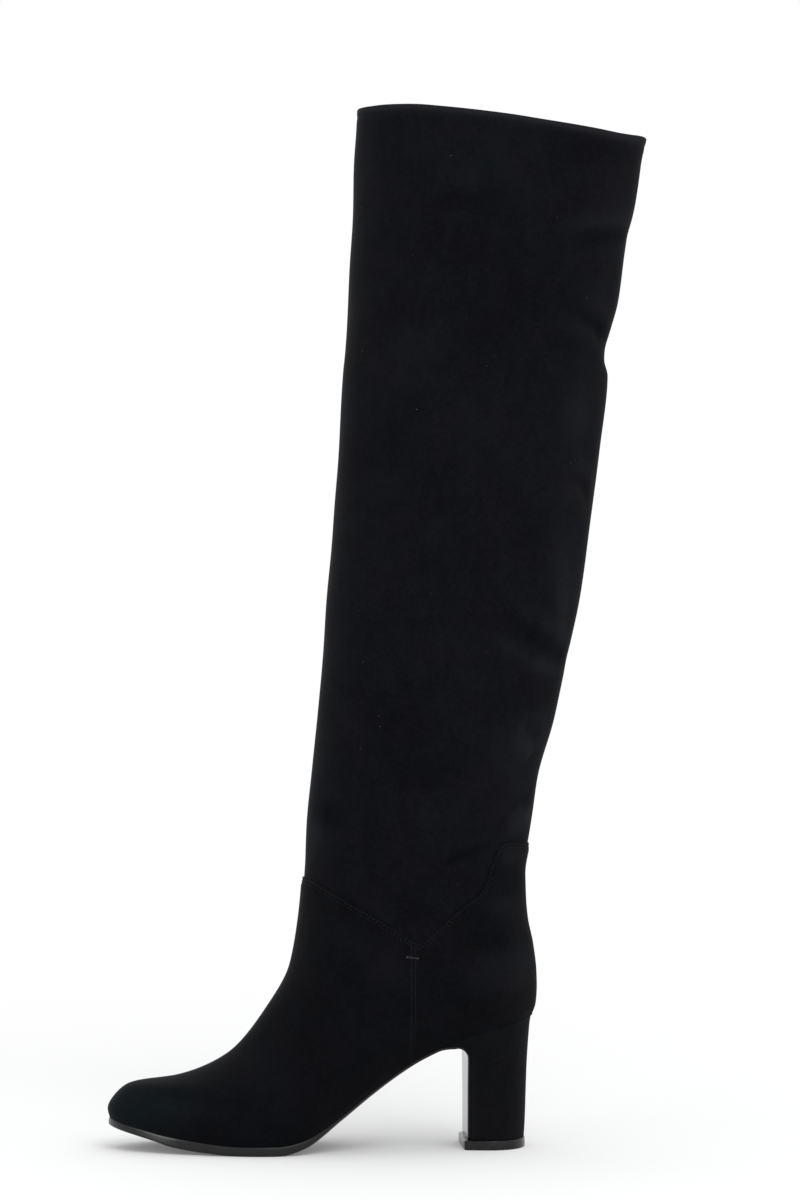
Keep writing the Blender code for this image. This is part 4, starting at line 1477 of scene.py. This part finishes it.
        piece = make_piece("outsole_leather", np.array(rings), self.finish, False, {"edge": np.array(edges)})
        seat_piece(piece, "outsole")
        return piece

    def plain_section(self, add: Callable[[list[Spot], list[float], float], None], x: float, z: float,
                      normal: np.ndarray, half: float, thickness: float, chamfer: float, middle: float) -> None:
        """Add a section behind the last, which lies square to the sole.

        Args:
            add: Takes half a section, its edge marks and its middle.
            x: Place of the section's top along the foot.
            z: Height of its top.
            normal: Direction through the sole, in X and Z.
            half: Half width.
            thickness: Thickness.
            chamfer: Width of the rounded lower edge.
            middle: Sideways place of its middle.
        """
        half_profile = self.profile(thickness, chamfer, self.flap_edge_share, 0.0)
        spots = [(x + normal[0] * depth, half - inset, z + normal[1] * depth) for inset, depth, _ in half_profile]
        add(spots, [mark for _, _, mark in half_profile], middle)


class HeelLoop(NamedTuple):
    """One loop of the heel: its end points, half widths at the breast and widest place, slope of the seat."""

    front_x: float
    front_z: float
    back_x: float
    back_z: float
    breast_half: float
    half: float
    seat: float


@dataclass
class Heel:
    """Block heel covered in suede, with a rubber top piece below it."""

    form: BootForm
    upper: Upper
    finish: bpy.types.Material
    rubber: bpy.types.Material
    gap: float = 0.3
    bend_x: float = 43.1
    bend_z: float = 50.0
    bend_r: float = 6.9
    bend_turns: tuple[float, ...] = (30.0, 60.0, 90.0)
    lip_x: float = 34.5
    widest_x: float = 62.0
    sharp: float = 0.06
    corner_r: float = 1.6
    levels: int = 60
    corner_steps: int = 8
    side_steps: int = 8
    back_steps: int = 30
    top_piece_section: Table = ((0.0, 0.3), (0.1, 0.1), (0.3, 0.0), (2.4, -0.05), (4.6, 0.0), (4.95, 0.12), (5.15, 0.4))
    top_piece_proud: float = 0.5
    top_piece_front_x: float = 47.4
    flush_angles: Span = (120.0, 178.0)
    flush_from: Span = (42.0, 46.0)
    flush_to: Span = (81.5, 84.5)
    rub_and_highlight: float = 0.65
    rub_share: float = 0.15
    rub_high: Span = (56.0, 42.0)
    press: float = 0.6
    press_from: Span = (0.8, 0.97)

    def loops(self) -> tuple[HeelLoop, ...]:
        """Loops from the top piece to the seat; the upper ones follow the flap's bend."""
        arc = [(self.bend_x + self.bend_r * math.cos(turn), self.bend_z + self.bend_r * math.sin(turn))
               for turn in np.radians(self.bend_turns)]
        return (
            HeelLoop(50.0, 5.3, 81.4, 5.3, 20.0, 22.2, 0.0),
            HeelLoop(50.0, 16.0, 82.0, 16.0, 20.1, 22.4, 0.0),
            HeelLoop(50.0, 30.0, 82.5, 32.0, 20.5, 22.8, 0.0),
            HeelLoop(50.0, 42.0, 83.1, 48.0, 21.4, 23.8, 0.0),
            HeelLoop(50.0, self.bend_z, 84.0, 58.6, 22.6, 25.2, 0.2),
            HeelLoop(*arc[0], 84.6, 64.2, 23.7, 26.5, 0.5),
            HeelLoop(*arc[1], 85.2, 69.0, 24.9, 27.9, 0.8),
            HeelLoop(*arc[2], 85.6, 72.4, 25.9, 28.7, 1.0),
        )

    def outline(self, front_x: float, back_x: float, breast_half: float, half: float) -> np.ndarray:
        """Plan of the heel: flat breast with round corners, sides that spread, half-oval back.

        Args:
            front_x: Place of the breast.
            back_x: Place of the rearmost point.
            breast_half: Half width at the breast.
            half: Half width at the widest place.

        Returns:
            Points in X and Y, once around.
        """
        corner_x = front_x + self.corner_r
        turn = np.radians(np.linspace(0.0, 90.0, self.corner_steps + 1))
        corner = np.stack([corner_x - self.corner_r * np.cos(turn),
                           breast_half - self.corner_r + self.corner_r * np.sin(turn)], axis=1)
        share = np.linspace(0.0, 1.0, self.side_steps + 1)[1:-1]
        flank = np.stack([corner_x + (self.widest_x - corner_x) * share,
                          breast_half + (half - breast_half) * np.sin(share * math.pi / 2)], axis=1)
        turn = np.radians(np.linspace(0.0, 90.0, self.back_steps + 1)[:-1])
        back = np.stack([self.widest_x + (back_x - self.widest_x) * np.sin(turn), half * np.cos(turn)], axis=1)
        one_side = np.concatenate([corner, flank, back])
        return np.concatenate([one_side * (1.0, -1.0), [(back_x, 0.0)], one_side[::-1]])

    def flush(self, plan: np.ndarray, share: float) -> np.ndarray:
        """Move the sides of a plan towards the lower edge of the upper.

        Args:
            plan: Points in X and Y, once around.
            share: How far they move, 1 for all the way.

        Returns:
            The moved plan.
        """
        seat = self.loops()[-1]
        rim = self.outline(self.lip_x, seat.back_x, seat.breast_half, seat.half)
        rim = rim[:len(rim) // 2 + 1] * (1.0, -1.0)
        angle, height = np.linspace(*self.flush_angles, len(rim)), self.upper.outside - self.upper.tuck
        x, moved = plan[:, 0], plan.copy()
        fade = share * smooth_step(*self.flush_from, x) * (1 - smooth_step(*self.flush_to, x))
        for side in Side:
            edge = self.form.lifted(angle, np.zeros_like(angle), side.value, height)
            ratio = np.interp(x, edge[:, 0], np.abs(edge[:, 1])) / np.interp(x, rim[:, 0], rim[:, 1])
            moved[:, 1] *= np.where(plan[:, 1] * side.value > 0, 1 + (ratio - 1) * fade, 1.0)
        return moved

    def build(self) -> list[bpy.types.Object]:
        """Make the covered block and its top piece.

        Returns:
            The two pieces.
        """
        return [self.block(), self.top_piece()]

    def block(self) -> bpy.types.Object:
        """The suede-covered block.

        Returns:
            The piece that stands for the heel.
        """
        table = self.loops()
        curve = SmoothCurve(range(len(table)), table)
        rings = []
        for loop in (HeelLoop(*row) for row in curve(np.linspace(0.0, len(table) - 1.0, self.levels))):
            plan = self.outline(loop.front_x, loop.back_x, loop.breast_half, loop.half)
            plan = self.flush(plan, loop.seat)
            share = (plan[:, 0] - loop.front_x) / (loop.back_x - loop.front_x)
            chord = loop.front_z + (loop.back_z - loop.front_z) * share
            z = chord + (self.form.feather_z(plan[:, 0]) - self.gap - chord) * loop.seat * share
            rings.append(np.column_stack([plan, z]))
        last = table[-1]
        plan = self.flush(self.outline(self.lip_x, last.back_x, last.breast_half, last.half), 1.0)
        rim = np.column_stack([plan, self.form.feather_z(plan[:, 0]) - self.gap])
        rings = np.array([*rings, rim - (0.0, 0.0, self.sharp), rim])
        x = rings[..., 0]
        along = (x - x.min(axis=1, keepdims=True)) / np.ptp(x, axis=1)[:, None]
        highlight_and_rubbing = self.rub_and_highlight * bell(along, self.rub_share) * smooth_step(*self.rub_high, rings[..., 2])
        marks = {"pale_nap_and_shade": highlight_and_rubbing, "pressed": self.press * smooth_step(*self.press_from, along)}
        piece = make_piece("heel_cover", rings, self.finish, False, marks)
        seat_piece(piece, "heel")
        return piece

    def top_piece(self) -> bpy.types.Object:
        """The rubber lift, with rounded edges above and below.

        Returns:
            The piece that stands for the top piece.
        """
        low = self.loops()[0]
        rings = []
        for z, inset in self.top_piece_section:
            grow = self.top_piece_proud - inset
            plan = self.outline(self.top_piece_front_x - grow, low.back_x + grow,
                                low.breast_half + grow, low.half + grow)
            rings.append(np.column_stack([plan, np.full(len(plan), z)]))
        piece = make_piece("heel_top_piece", np.array(rings), self.rubber, False)
        seat_piece(piece, "top_piece")
        return piece


@dataclass
class Insole:
    """Board on the feather line with a smooth leather sock and a rounded edge."""

    form: BootForm
    sole: Outsole
    finish: bpy.types.Material
    edge: float = 0.15
    section: Table = ((4.0, 0.0), (0.2, 0.0), (0.0, 0.2), (0.0, 1.5), (0.25, 2.05), (0.8, 2.4), (5.0, 2.25))
    ends: Span = (0.6, 179.4)
    steps: int = 120

    def build(self) -> bpy.types.Object:
        """Make the insole.

        Returns:
            The piece that stands for the insole.
        """
        rings = []
        for angle in np.linspace(*self.ends, self.steps):
            spots = []
            for inset, rise in self.section:
                x, half = self.sole.place(angle, -self.edge - inset)
                spots.append((x, half, float(self.form.feather_z(x)) + rise))
            rings.append(both_sides(spots, float(self.form.swing_y(spots[0][0]))))
        piece = make_piece("insole_sock", np.array(rings), self.finish, False)
        seat_piece(piece, "insole")
        return piece


@dataclass(frozen=True)
class SeamLine:
    """A line to sew along: points on the surface with the direction out of it, in millimetres."""

    points: np.ndarray
    outward: np.ndarray
    closed: bool = False


@dataclass(frozen=True)
class Stitch:
    """Size of one kind of stitch."""

    pitch: float
    length: float
    radius: float
    turn: float = 0.0
    seed: int = 7


class StitchTree(Wiring):
    """Geometry Nodes tree that lays stitches along the edges of a path mesh."""

    uneven: float = 0.07
    bead_segments: int = 8
    bead_rings: int = 6

    def __init__(self) -> None:
        """Build the tree with its named inputs."""
        self.tree = bpy.data.node_groups.new("stitch_row", "GeometryNodeTree")
        self.sockets: dict[str, str] = {}
        self.tree.interface.new_socket("Geometry", in_out="INPUT", socket_type="NodeSocketGeometry")
        for name, kind in (("Pitch", "Float"), ("Length", "Float"), ("Radius", "Float"), ("Turn", "Float"),
                           ("Seed", "Int"), ("Thread", "Material")):
            socket = self.tree.interface.new_socket(name, in_out="INPUT", socket_type=f"NodeSocket{kind}")
            self.sockets[name] = socket.identifier
        self.tree.interface.new_socket("Geometry", in_out="OUTPUT", socket_type="NodeSocketGeometry")
        self.wire()

    def wire(self) -> None:
        """Wire path, stitch shape, placing and material."""
        given = self.add("NodeGroupInput").outputs
        path = self.add("GeometryNodeMeshToCurve", {"Mesh": given["Geometry"]})
        spots = self.add("GeometryNodeResampleCurve", {"Curve": path.outputs["Curve"], "Length": given["Pitch"]},
                         mode="LENGTH")
        along = self.add("GeometryNodeInputTangent").outputs["Tangent"]
        out = self.add("GeometryNodeInputNamedAttribute", {"Name": "outward"}, data_type="FLOAT_VECTOR")
        laid = self.add("FunctionNodeAlignRotationToVector", {"Vector": along}, axis="X")
        upright = self.add("FunctionNodeAlignRotationToVector",
                           {"Rotation": laid.outputs["Rotation"], "Vector": out.outputs["Attribute"]},
                           axis="Z", pivot_axis="X")
        uneven = self.add("FunctionNodeRandomValue", {2: -self.uneven, 3: self.uneven, "Seed": given["Seed"]},
                          data_type="FLOAT")
        lean = self.add("ShaderNodeMath", {0: given["Turn"], 1: uneven.outputs[1]}, operation="ADD")
        twist = self.add("FunctionNodeAxisAngleToRotation", {"Axis": (0.0, 0.0, 1.0), "Angle": lean.outputs["Value"]})
        turned = self.add("FunctionNodeRotateRotation",
                          {"Rotation": upright.outputs["Rotation"], "Rotate By": twist.outputs["Rotation"]},
                          rotation_space="LOCAL")
        half = self.add("ShaderNodeMath", {0: given["Length"], 1: 0.5}, operation="MULTIPLY").outputs["Value"]
        size = self.add("ShaderNodeCombineXYZ", {"X": half, "Y": given["Radius"], "Z": given["Radius"]})
        bead = self.add("GeometryNodeMeshUVSphere", {"Segments": self.bead_segments, "Rings": self.bead_rings,
                                                     "Radius": 1.0})
        shape = self.add("GeometryNodeTransform", {"Geometry": bead.outputs["Mesh"], "Scale": size.outputs["Vector"]})
        sewn = self.add("GeometryNodeInstanceOnPoints", {"Points": spots.outputs["Curve"],
                                                         "Instance": shape.outputs["Geometry"],
                                                         "Rotation": turned.outputs["Rotation"]})
        real = self.add("GeometryNodeRealizeInstances", {"Geometry": sewn.outputs["Instances"]})
        smooth = self.add("GeometryNodeSetShadeSmooth", {"Geometry": real.outputs["Geometry"]})
        dressed = self.add("GeometryNodeSetMaterial", {"Geometry": smooth.outputs["Geometry"],
                                                       "Material": given["Thread"]})
        self.add("NodeGroupOutput", {"Geometry": dressed.outputs["Geometry"]})

    def sew(self, name: str, lines: Sequence[SeamLine], stitch: Stitch, thread: bpy.types.Material) -> bpy.types.Object:
        """Sew rows of stitches and turn them into a plain mesh.

        Args:
            name: Name of the piece.
            lines: Lines to sew along.
            stitch: Size of the stitches.
            thread: Their finish.

        Returns:
            The stitches as one piece, linked to the scene.
        """
        points, edges, outward = [], [], []
        for line in lines:
            first, count = len(points), len(line.points)
            points += (line.points * MM).tolist()
            outward += line.outward.ravel().tolist()
            edges += [(first + i, first + i + 1) for i in range(count - 1)]
            if line.closed:
                edges.append((first + count - 1, first))
        path = bpy.data.meshes.new(name)
        path.from_pydata(points, edges, [])
        layer = path.attributes.new("outward", "FLOAT_VECTOR", "POINT")
        layer.data.foreach_set("vector", np.array(outward, dtype=np.float32))
        piece = bpy.data.objects.new(name, path)
        rows = piece.modifiers.new("stitches", "NODES")
        rows.node_group = self.tree
        for key, value in (("Pitch", stitch.pitch * MM), ("Length", stitch.length * MM), ("Radius", stitch.radius * MM),
                           ("Turn", math.radians(stitch.turn)), ("Seed", stitch.seed), ("Thread", thread)):
            rows[self.sockets[key]] = value
        bpy.context.scene.collection.objects.link(piece)
        graph = bpy.context.evaluated_depsgraph_get()
        sewn = bpy.data.meshes.new_from_object(piece.evaluated_get(graph))
        piece.modifiers.remove(rows)
        piece.data = sewn
        bpy.data.meshes.remove(path)
        sewn.name = name
        return piece


@dataclass
class Stitching:
    """Thread work of the upper: rows along the top line and the side seams, a bar tack below each V."""

    form: BootForm
    upper: Upper
    thread: bpy.types.Material
    tack_thread: bpy.types.Material
    row_stitch: Stitch = Stitch(2.3, 1.8, 0.19)
    tack_stitch: Stitch = Stitch(0.36, 1.0, 0.2, turn=84.0)
    knot_stitch: Stitch = Stitch(6.2, 1.5, 0.42, turn=78.0)
    row_step: float = 0.6
    row_lift: float = -0.03
    seam_row_offset: float = 1.05
    seam_row_low: float = 60.0
    seam_row_drop: float = 5.2
    seam_points: int = 80
    tack_ends: Table = ((13.6, 108.1), (19.4, 107.4))
    tack_lift: float = 0.08
    tack_points: int = 24

    def build(self) -> list[bpy.types.Object]:
        """Sew all rows.

        Returns:
            The thread pieces.
        """
        tree = StitchTree()
        rows = [self.top_row(drop) for drop in self.upper.stitch_drops]
        seams = [self.seam_row(side, off) for side in Side for off in (-self.seam_row_offset, self.seam_row_offset)]
        tacks = [self.tack_line(side) for side in Side]
        pieces = [tree.sew("top_line_stitches", rows, self.row_stitch, self.thread),
                  tree.sew("side_seam_stitches", seams, self.row_stitch, self.thread),
                  tree.sew("side_seam_bar_tacks", tacks, self.tack_stitch, self.tack_thread),
                  tree.sew("side_seam_tack_knots", tacks, self.knot_stitch, self.tack_thread)]
        for piece in pieces:
            seat_piece(piece)
        return pieces

    def on_upper(self, angle: np.ndarray, station: np.ndarray, side: np.ndarray | float, lift: float,
                 closed: bool = False) -> SeamLine:
        """A line on the upper's outer face.

        Args:
            angle: Loop angles.
            station: Stations.
            side: Sides.
            lift: Height over the face.
            closed: Whether the line closes on itself.

        Returns:
            The line.
        """
        place = self.form.points(angle, station, side)
        around = np.where(np.asarray(side) < 0, angle, 360.0 - angle)
        skin = self.upper.skin(around, station, place[..., 2])
        return SeamLine(self.form.lifted(angle, station, side, self.upper.outside + skin + lift),
                        self.form.outward(angle, station, side), closed)

    def top_row(self, drop: float) -> SeamLine:
        """A row that keeps a distance below the top line, all around.

        Args:
            drop: Distance below the cut edge.

        Returns:
            The closed line.
        """
        columns = columns_around(self.row_step)
        station = self.form.station_at(columns.angle, 0.0, warped=True)
        angle = self.form.seam_warp(columns.angle, station)
        edge = self.on_upper(angle, station, columns.side, self.row_lift - self.upper.skived(drop), closed=True)
        along = np.roll(edge.points, -1, axis=0) - np.roll(edge.points, 1, axis=0)
        along /= np.linalg.norm(along, axis=1, keepdims=True)
        downhill = np.cross(along, edge.outward)
        downhill *= -np.sign(downhill[:, 2:3])
        return SeamLine(edge.points + downhill * drop, edge.outward, True)

    def seam_row(self, side: Side, off: float) -> SeamLine:
        """A row beside the side seam, from below the V to just above the sole."""
        z = np.linspace(self.seam_row_low, float(self.form.top_z(90.0)) - self.seam_row_drop, self.seam_points)
        return self.upright(side, np.full(len(z), self.form.seam_x + off), z, self.row_lift)

    def tack_line(self, side: Side) -> SeamLine:
        """The line of a bar tack across the seam, below the V."""
        ends = np.array(self.tack_ends)
        x, z = (ends[0] + (ends[1] - ends[0]) * np.linspace(0.0, 1.0, self.tack_points)[:, None]).T
        return self.upright(side, x, z, self.tack_lift)

    def upright(self, side: Side, x: np.ndarray, z: np.ndarray, lift: float) -> SeamLine:
        """A line through places on the side of the foot.

        Args:
            side: Side of the boot.
            x: Places along the foot.
            z: Heights.
            lift: Height over the upper's face.

        Returns:
            The line.
        """
        station = self.form.station_of(x, z)
        return self.on_upper(self.form.seam_angle(station, x), station, side.value, lift)


@dataclass
class Studio:
    """Pale floor that runs out into white, soft light all round, and the camera of the photograph."""

    floor_r: float = 6.0
    floor_sides: int = 96
    floor_colour: Colour = (0.905, 0.91, 0.915)
    floor_glow: float = 0.12
    floor_grain: float = 1.5
    floor_shade: float = 0.995
    floor_roughness: float = 0.9
    floor_specular: float = 0.1
    fade_from: float = 0.2
    fade_to: float = 1.2
    key_place: tuple[float, float, float] = (0.5, -1.7, 2.1)
    key_size: float = 1.5
    key_power: float = 18.0
    distance: float = 2.33
    camera_z: float = 0.302
    middle_x: float = 0.01275
    yaw: float = 4.0
    lens: float = 126.4
    sensor: float = 36.0
    sight: float = 50.0

    def build(self) -> None:
        """Set up floor, light and camera."""
        self.floor()
        self.light()
        self.camera()

    def floor(self) -> None:
        """A round floor: white paper that also glows a little near the boot, which lifts the shadows there, and plain
        white light far away.
        """
        mesh = bpy.data.meshes.new("studio_floor")
        shape = bmesh.new()
        bmesh.ops.create_circle(shape, cap_ends=True, segments=self.floor_sides, radius=self.floor_r)
        shape.to_mesh(mesh)
        shape.free()
        paper = FinishTree("floor_paper")
        spread = paper.add("ShaderNodeVectorMath", {0: paper.place}, operation="LENGTH").outputs["Value"]
        grain = paper.ranged(paper.noise(self.floor_grain), *CLOUDY)
        colour = paper.mixed(grain, tuple(self.floor_shade * c for c in self.floor_colour), self.floor_colour)
        material = paper.dress(Base_Color=colour, Roughness=self.floor_roughness,
                               Specular_IOR_Level=self.floor_specular)
        glow = paper.add("ShaderNodeEmission", {"Color": (*WHITE, 1.0), "Strength": 1.0})
        # Share of glow: small near the boot, where it lightens the floor's shadows, and full far away.
        far = paper.ranged(spread, self.fade_from, self.fade_to, self.floor_glow, 1.0)
        both = paper.add("ShaderNodeMixShader", {0: far, 1: paper.shader.outputs["BSDF"],
                                                 2: glow.outputs["Emission"]})
        paper.tree.links.new(both.outputs["Shader"], paper.tree.nodes["Material Output"].inputs["Surface"])
        mesh.materials.append(material)
        ground = bpy.data.objects.new("studio_floor", mesh)
        bpy.context.scene.collection.objects.link(ground)

    def light(self) -> None:
        """White surroundings and one large soft light in front, above."""
        data = bpy.data.lights.new("soft_key", "AREA")
        data.shape, data.size, data.energy = "DISK", self.key_size, self.key_power
        key = bpy.data.objects.new("soft_key", data)
        key.location = self.key_place
        key.rotation_euler = (-Vector(self.key_place)).to_track_quat("-Z", "Y").to_euler()
        bpy.context.scene.collection.objects.link(key)
        world = bpy.data.worlds.new("studio_white")
        world.use_nodes = True
        sky = world.node_tree.nodes["Background"]
        sky.inputs["Color"].default_value = (*WHITE, 1.0)
        sky.inputs["Strength"].default_value = 1.0
        bpy.context.scene.world = world
        bpy.context.scene.view_settings.view_transform = "Standard"

    def camera(self) -> None:
        """Level camera on the outer side, turned a little towards the toe."""
        data = bpy.data.cameras.new("camera")
        data.lens = self.lens
        data.sensor_width = self.sensor
        data.clip_end = self.sight
        eye = bpy.data.objects.new("camera", data)
        yaw = math.radians(self.yaw)
        eye.location = (self.middle_x - self.distance * math.sin(yaw), -self.distance * math.cos(yaw), self.camera_z)
        aim = Vector((math.sin(yaw), math.cos(yaw), 0.0))
        eye.rotation_euler = aim.to_track_quat("-Z", "Y").to_euler()
        bpy.context.scene.collection.objects.link(eye)
        bpy.context.scene.camera = eye


UPPER_SUEDE = Suede("upper_suede", deep=(0.0010, 0.0011, 0.0019), pale=(0.0033, 0.0035, 0.0049),
                    brushed_and_lit=(0.0082, 0.0086, 0.0110), press=0.43)
SHAFT_SUEDE = Suede("shaft_suede")
HEEL_SUEDE = Suede("heel_suede", deep=(0.0022, 0.0022, 0.0029), pale=(0.0051, 0.0051, 0.0062))
SEAM_THREAD = Thread("seam_thread")
TACK_THREAD = Thread("tack_thread", colour=(0.024, 0.025, 0.027), paler=(0.045, 0.046, 0.048))


def main() -> None:
    """Dress the boot piece by piece and set up the studio."""
    logging.basicConfig(level=logging.INFO, format="%(message)s")
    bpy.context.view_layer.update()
    form = BootForm()
    Studio().build()
    upper = Upper(form, UPPER_SUEDE.material())
    upper.build()
    Shaft(form, SHAFT_SUEDE.material()).build()
    Lining(form, LiningLeather("lining_leather").material()).build()
    sole = Outsole(form, SoleLeather().material())
    sole.build()
    Heel(form, upper, HEEL_SUEDE.material(), Rubber().material()).build()
    Insole(form, sole, LiningLeather("insole_leather").material()).build()
    Stitching(form, upper, SEAM_THREAD.material(), TACK_THREAD.material()).build()


if __name__ == "__main__":
    main()
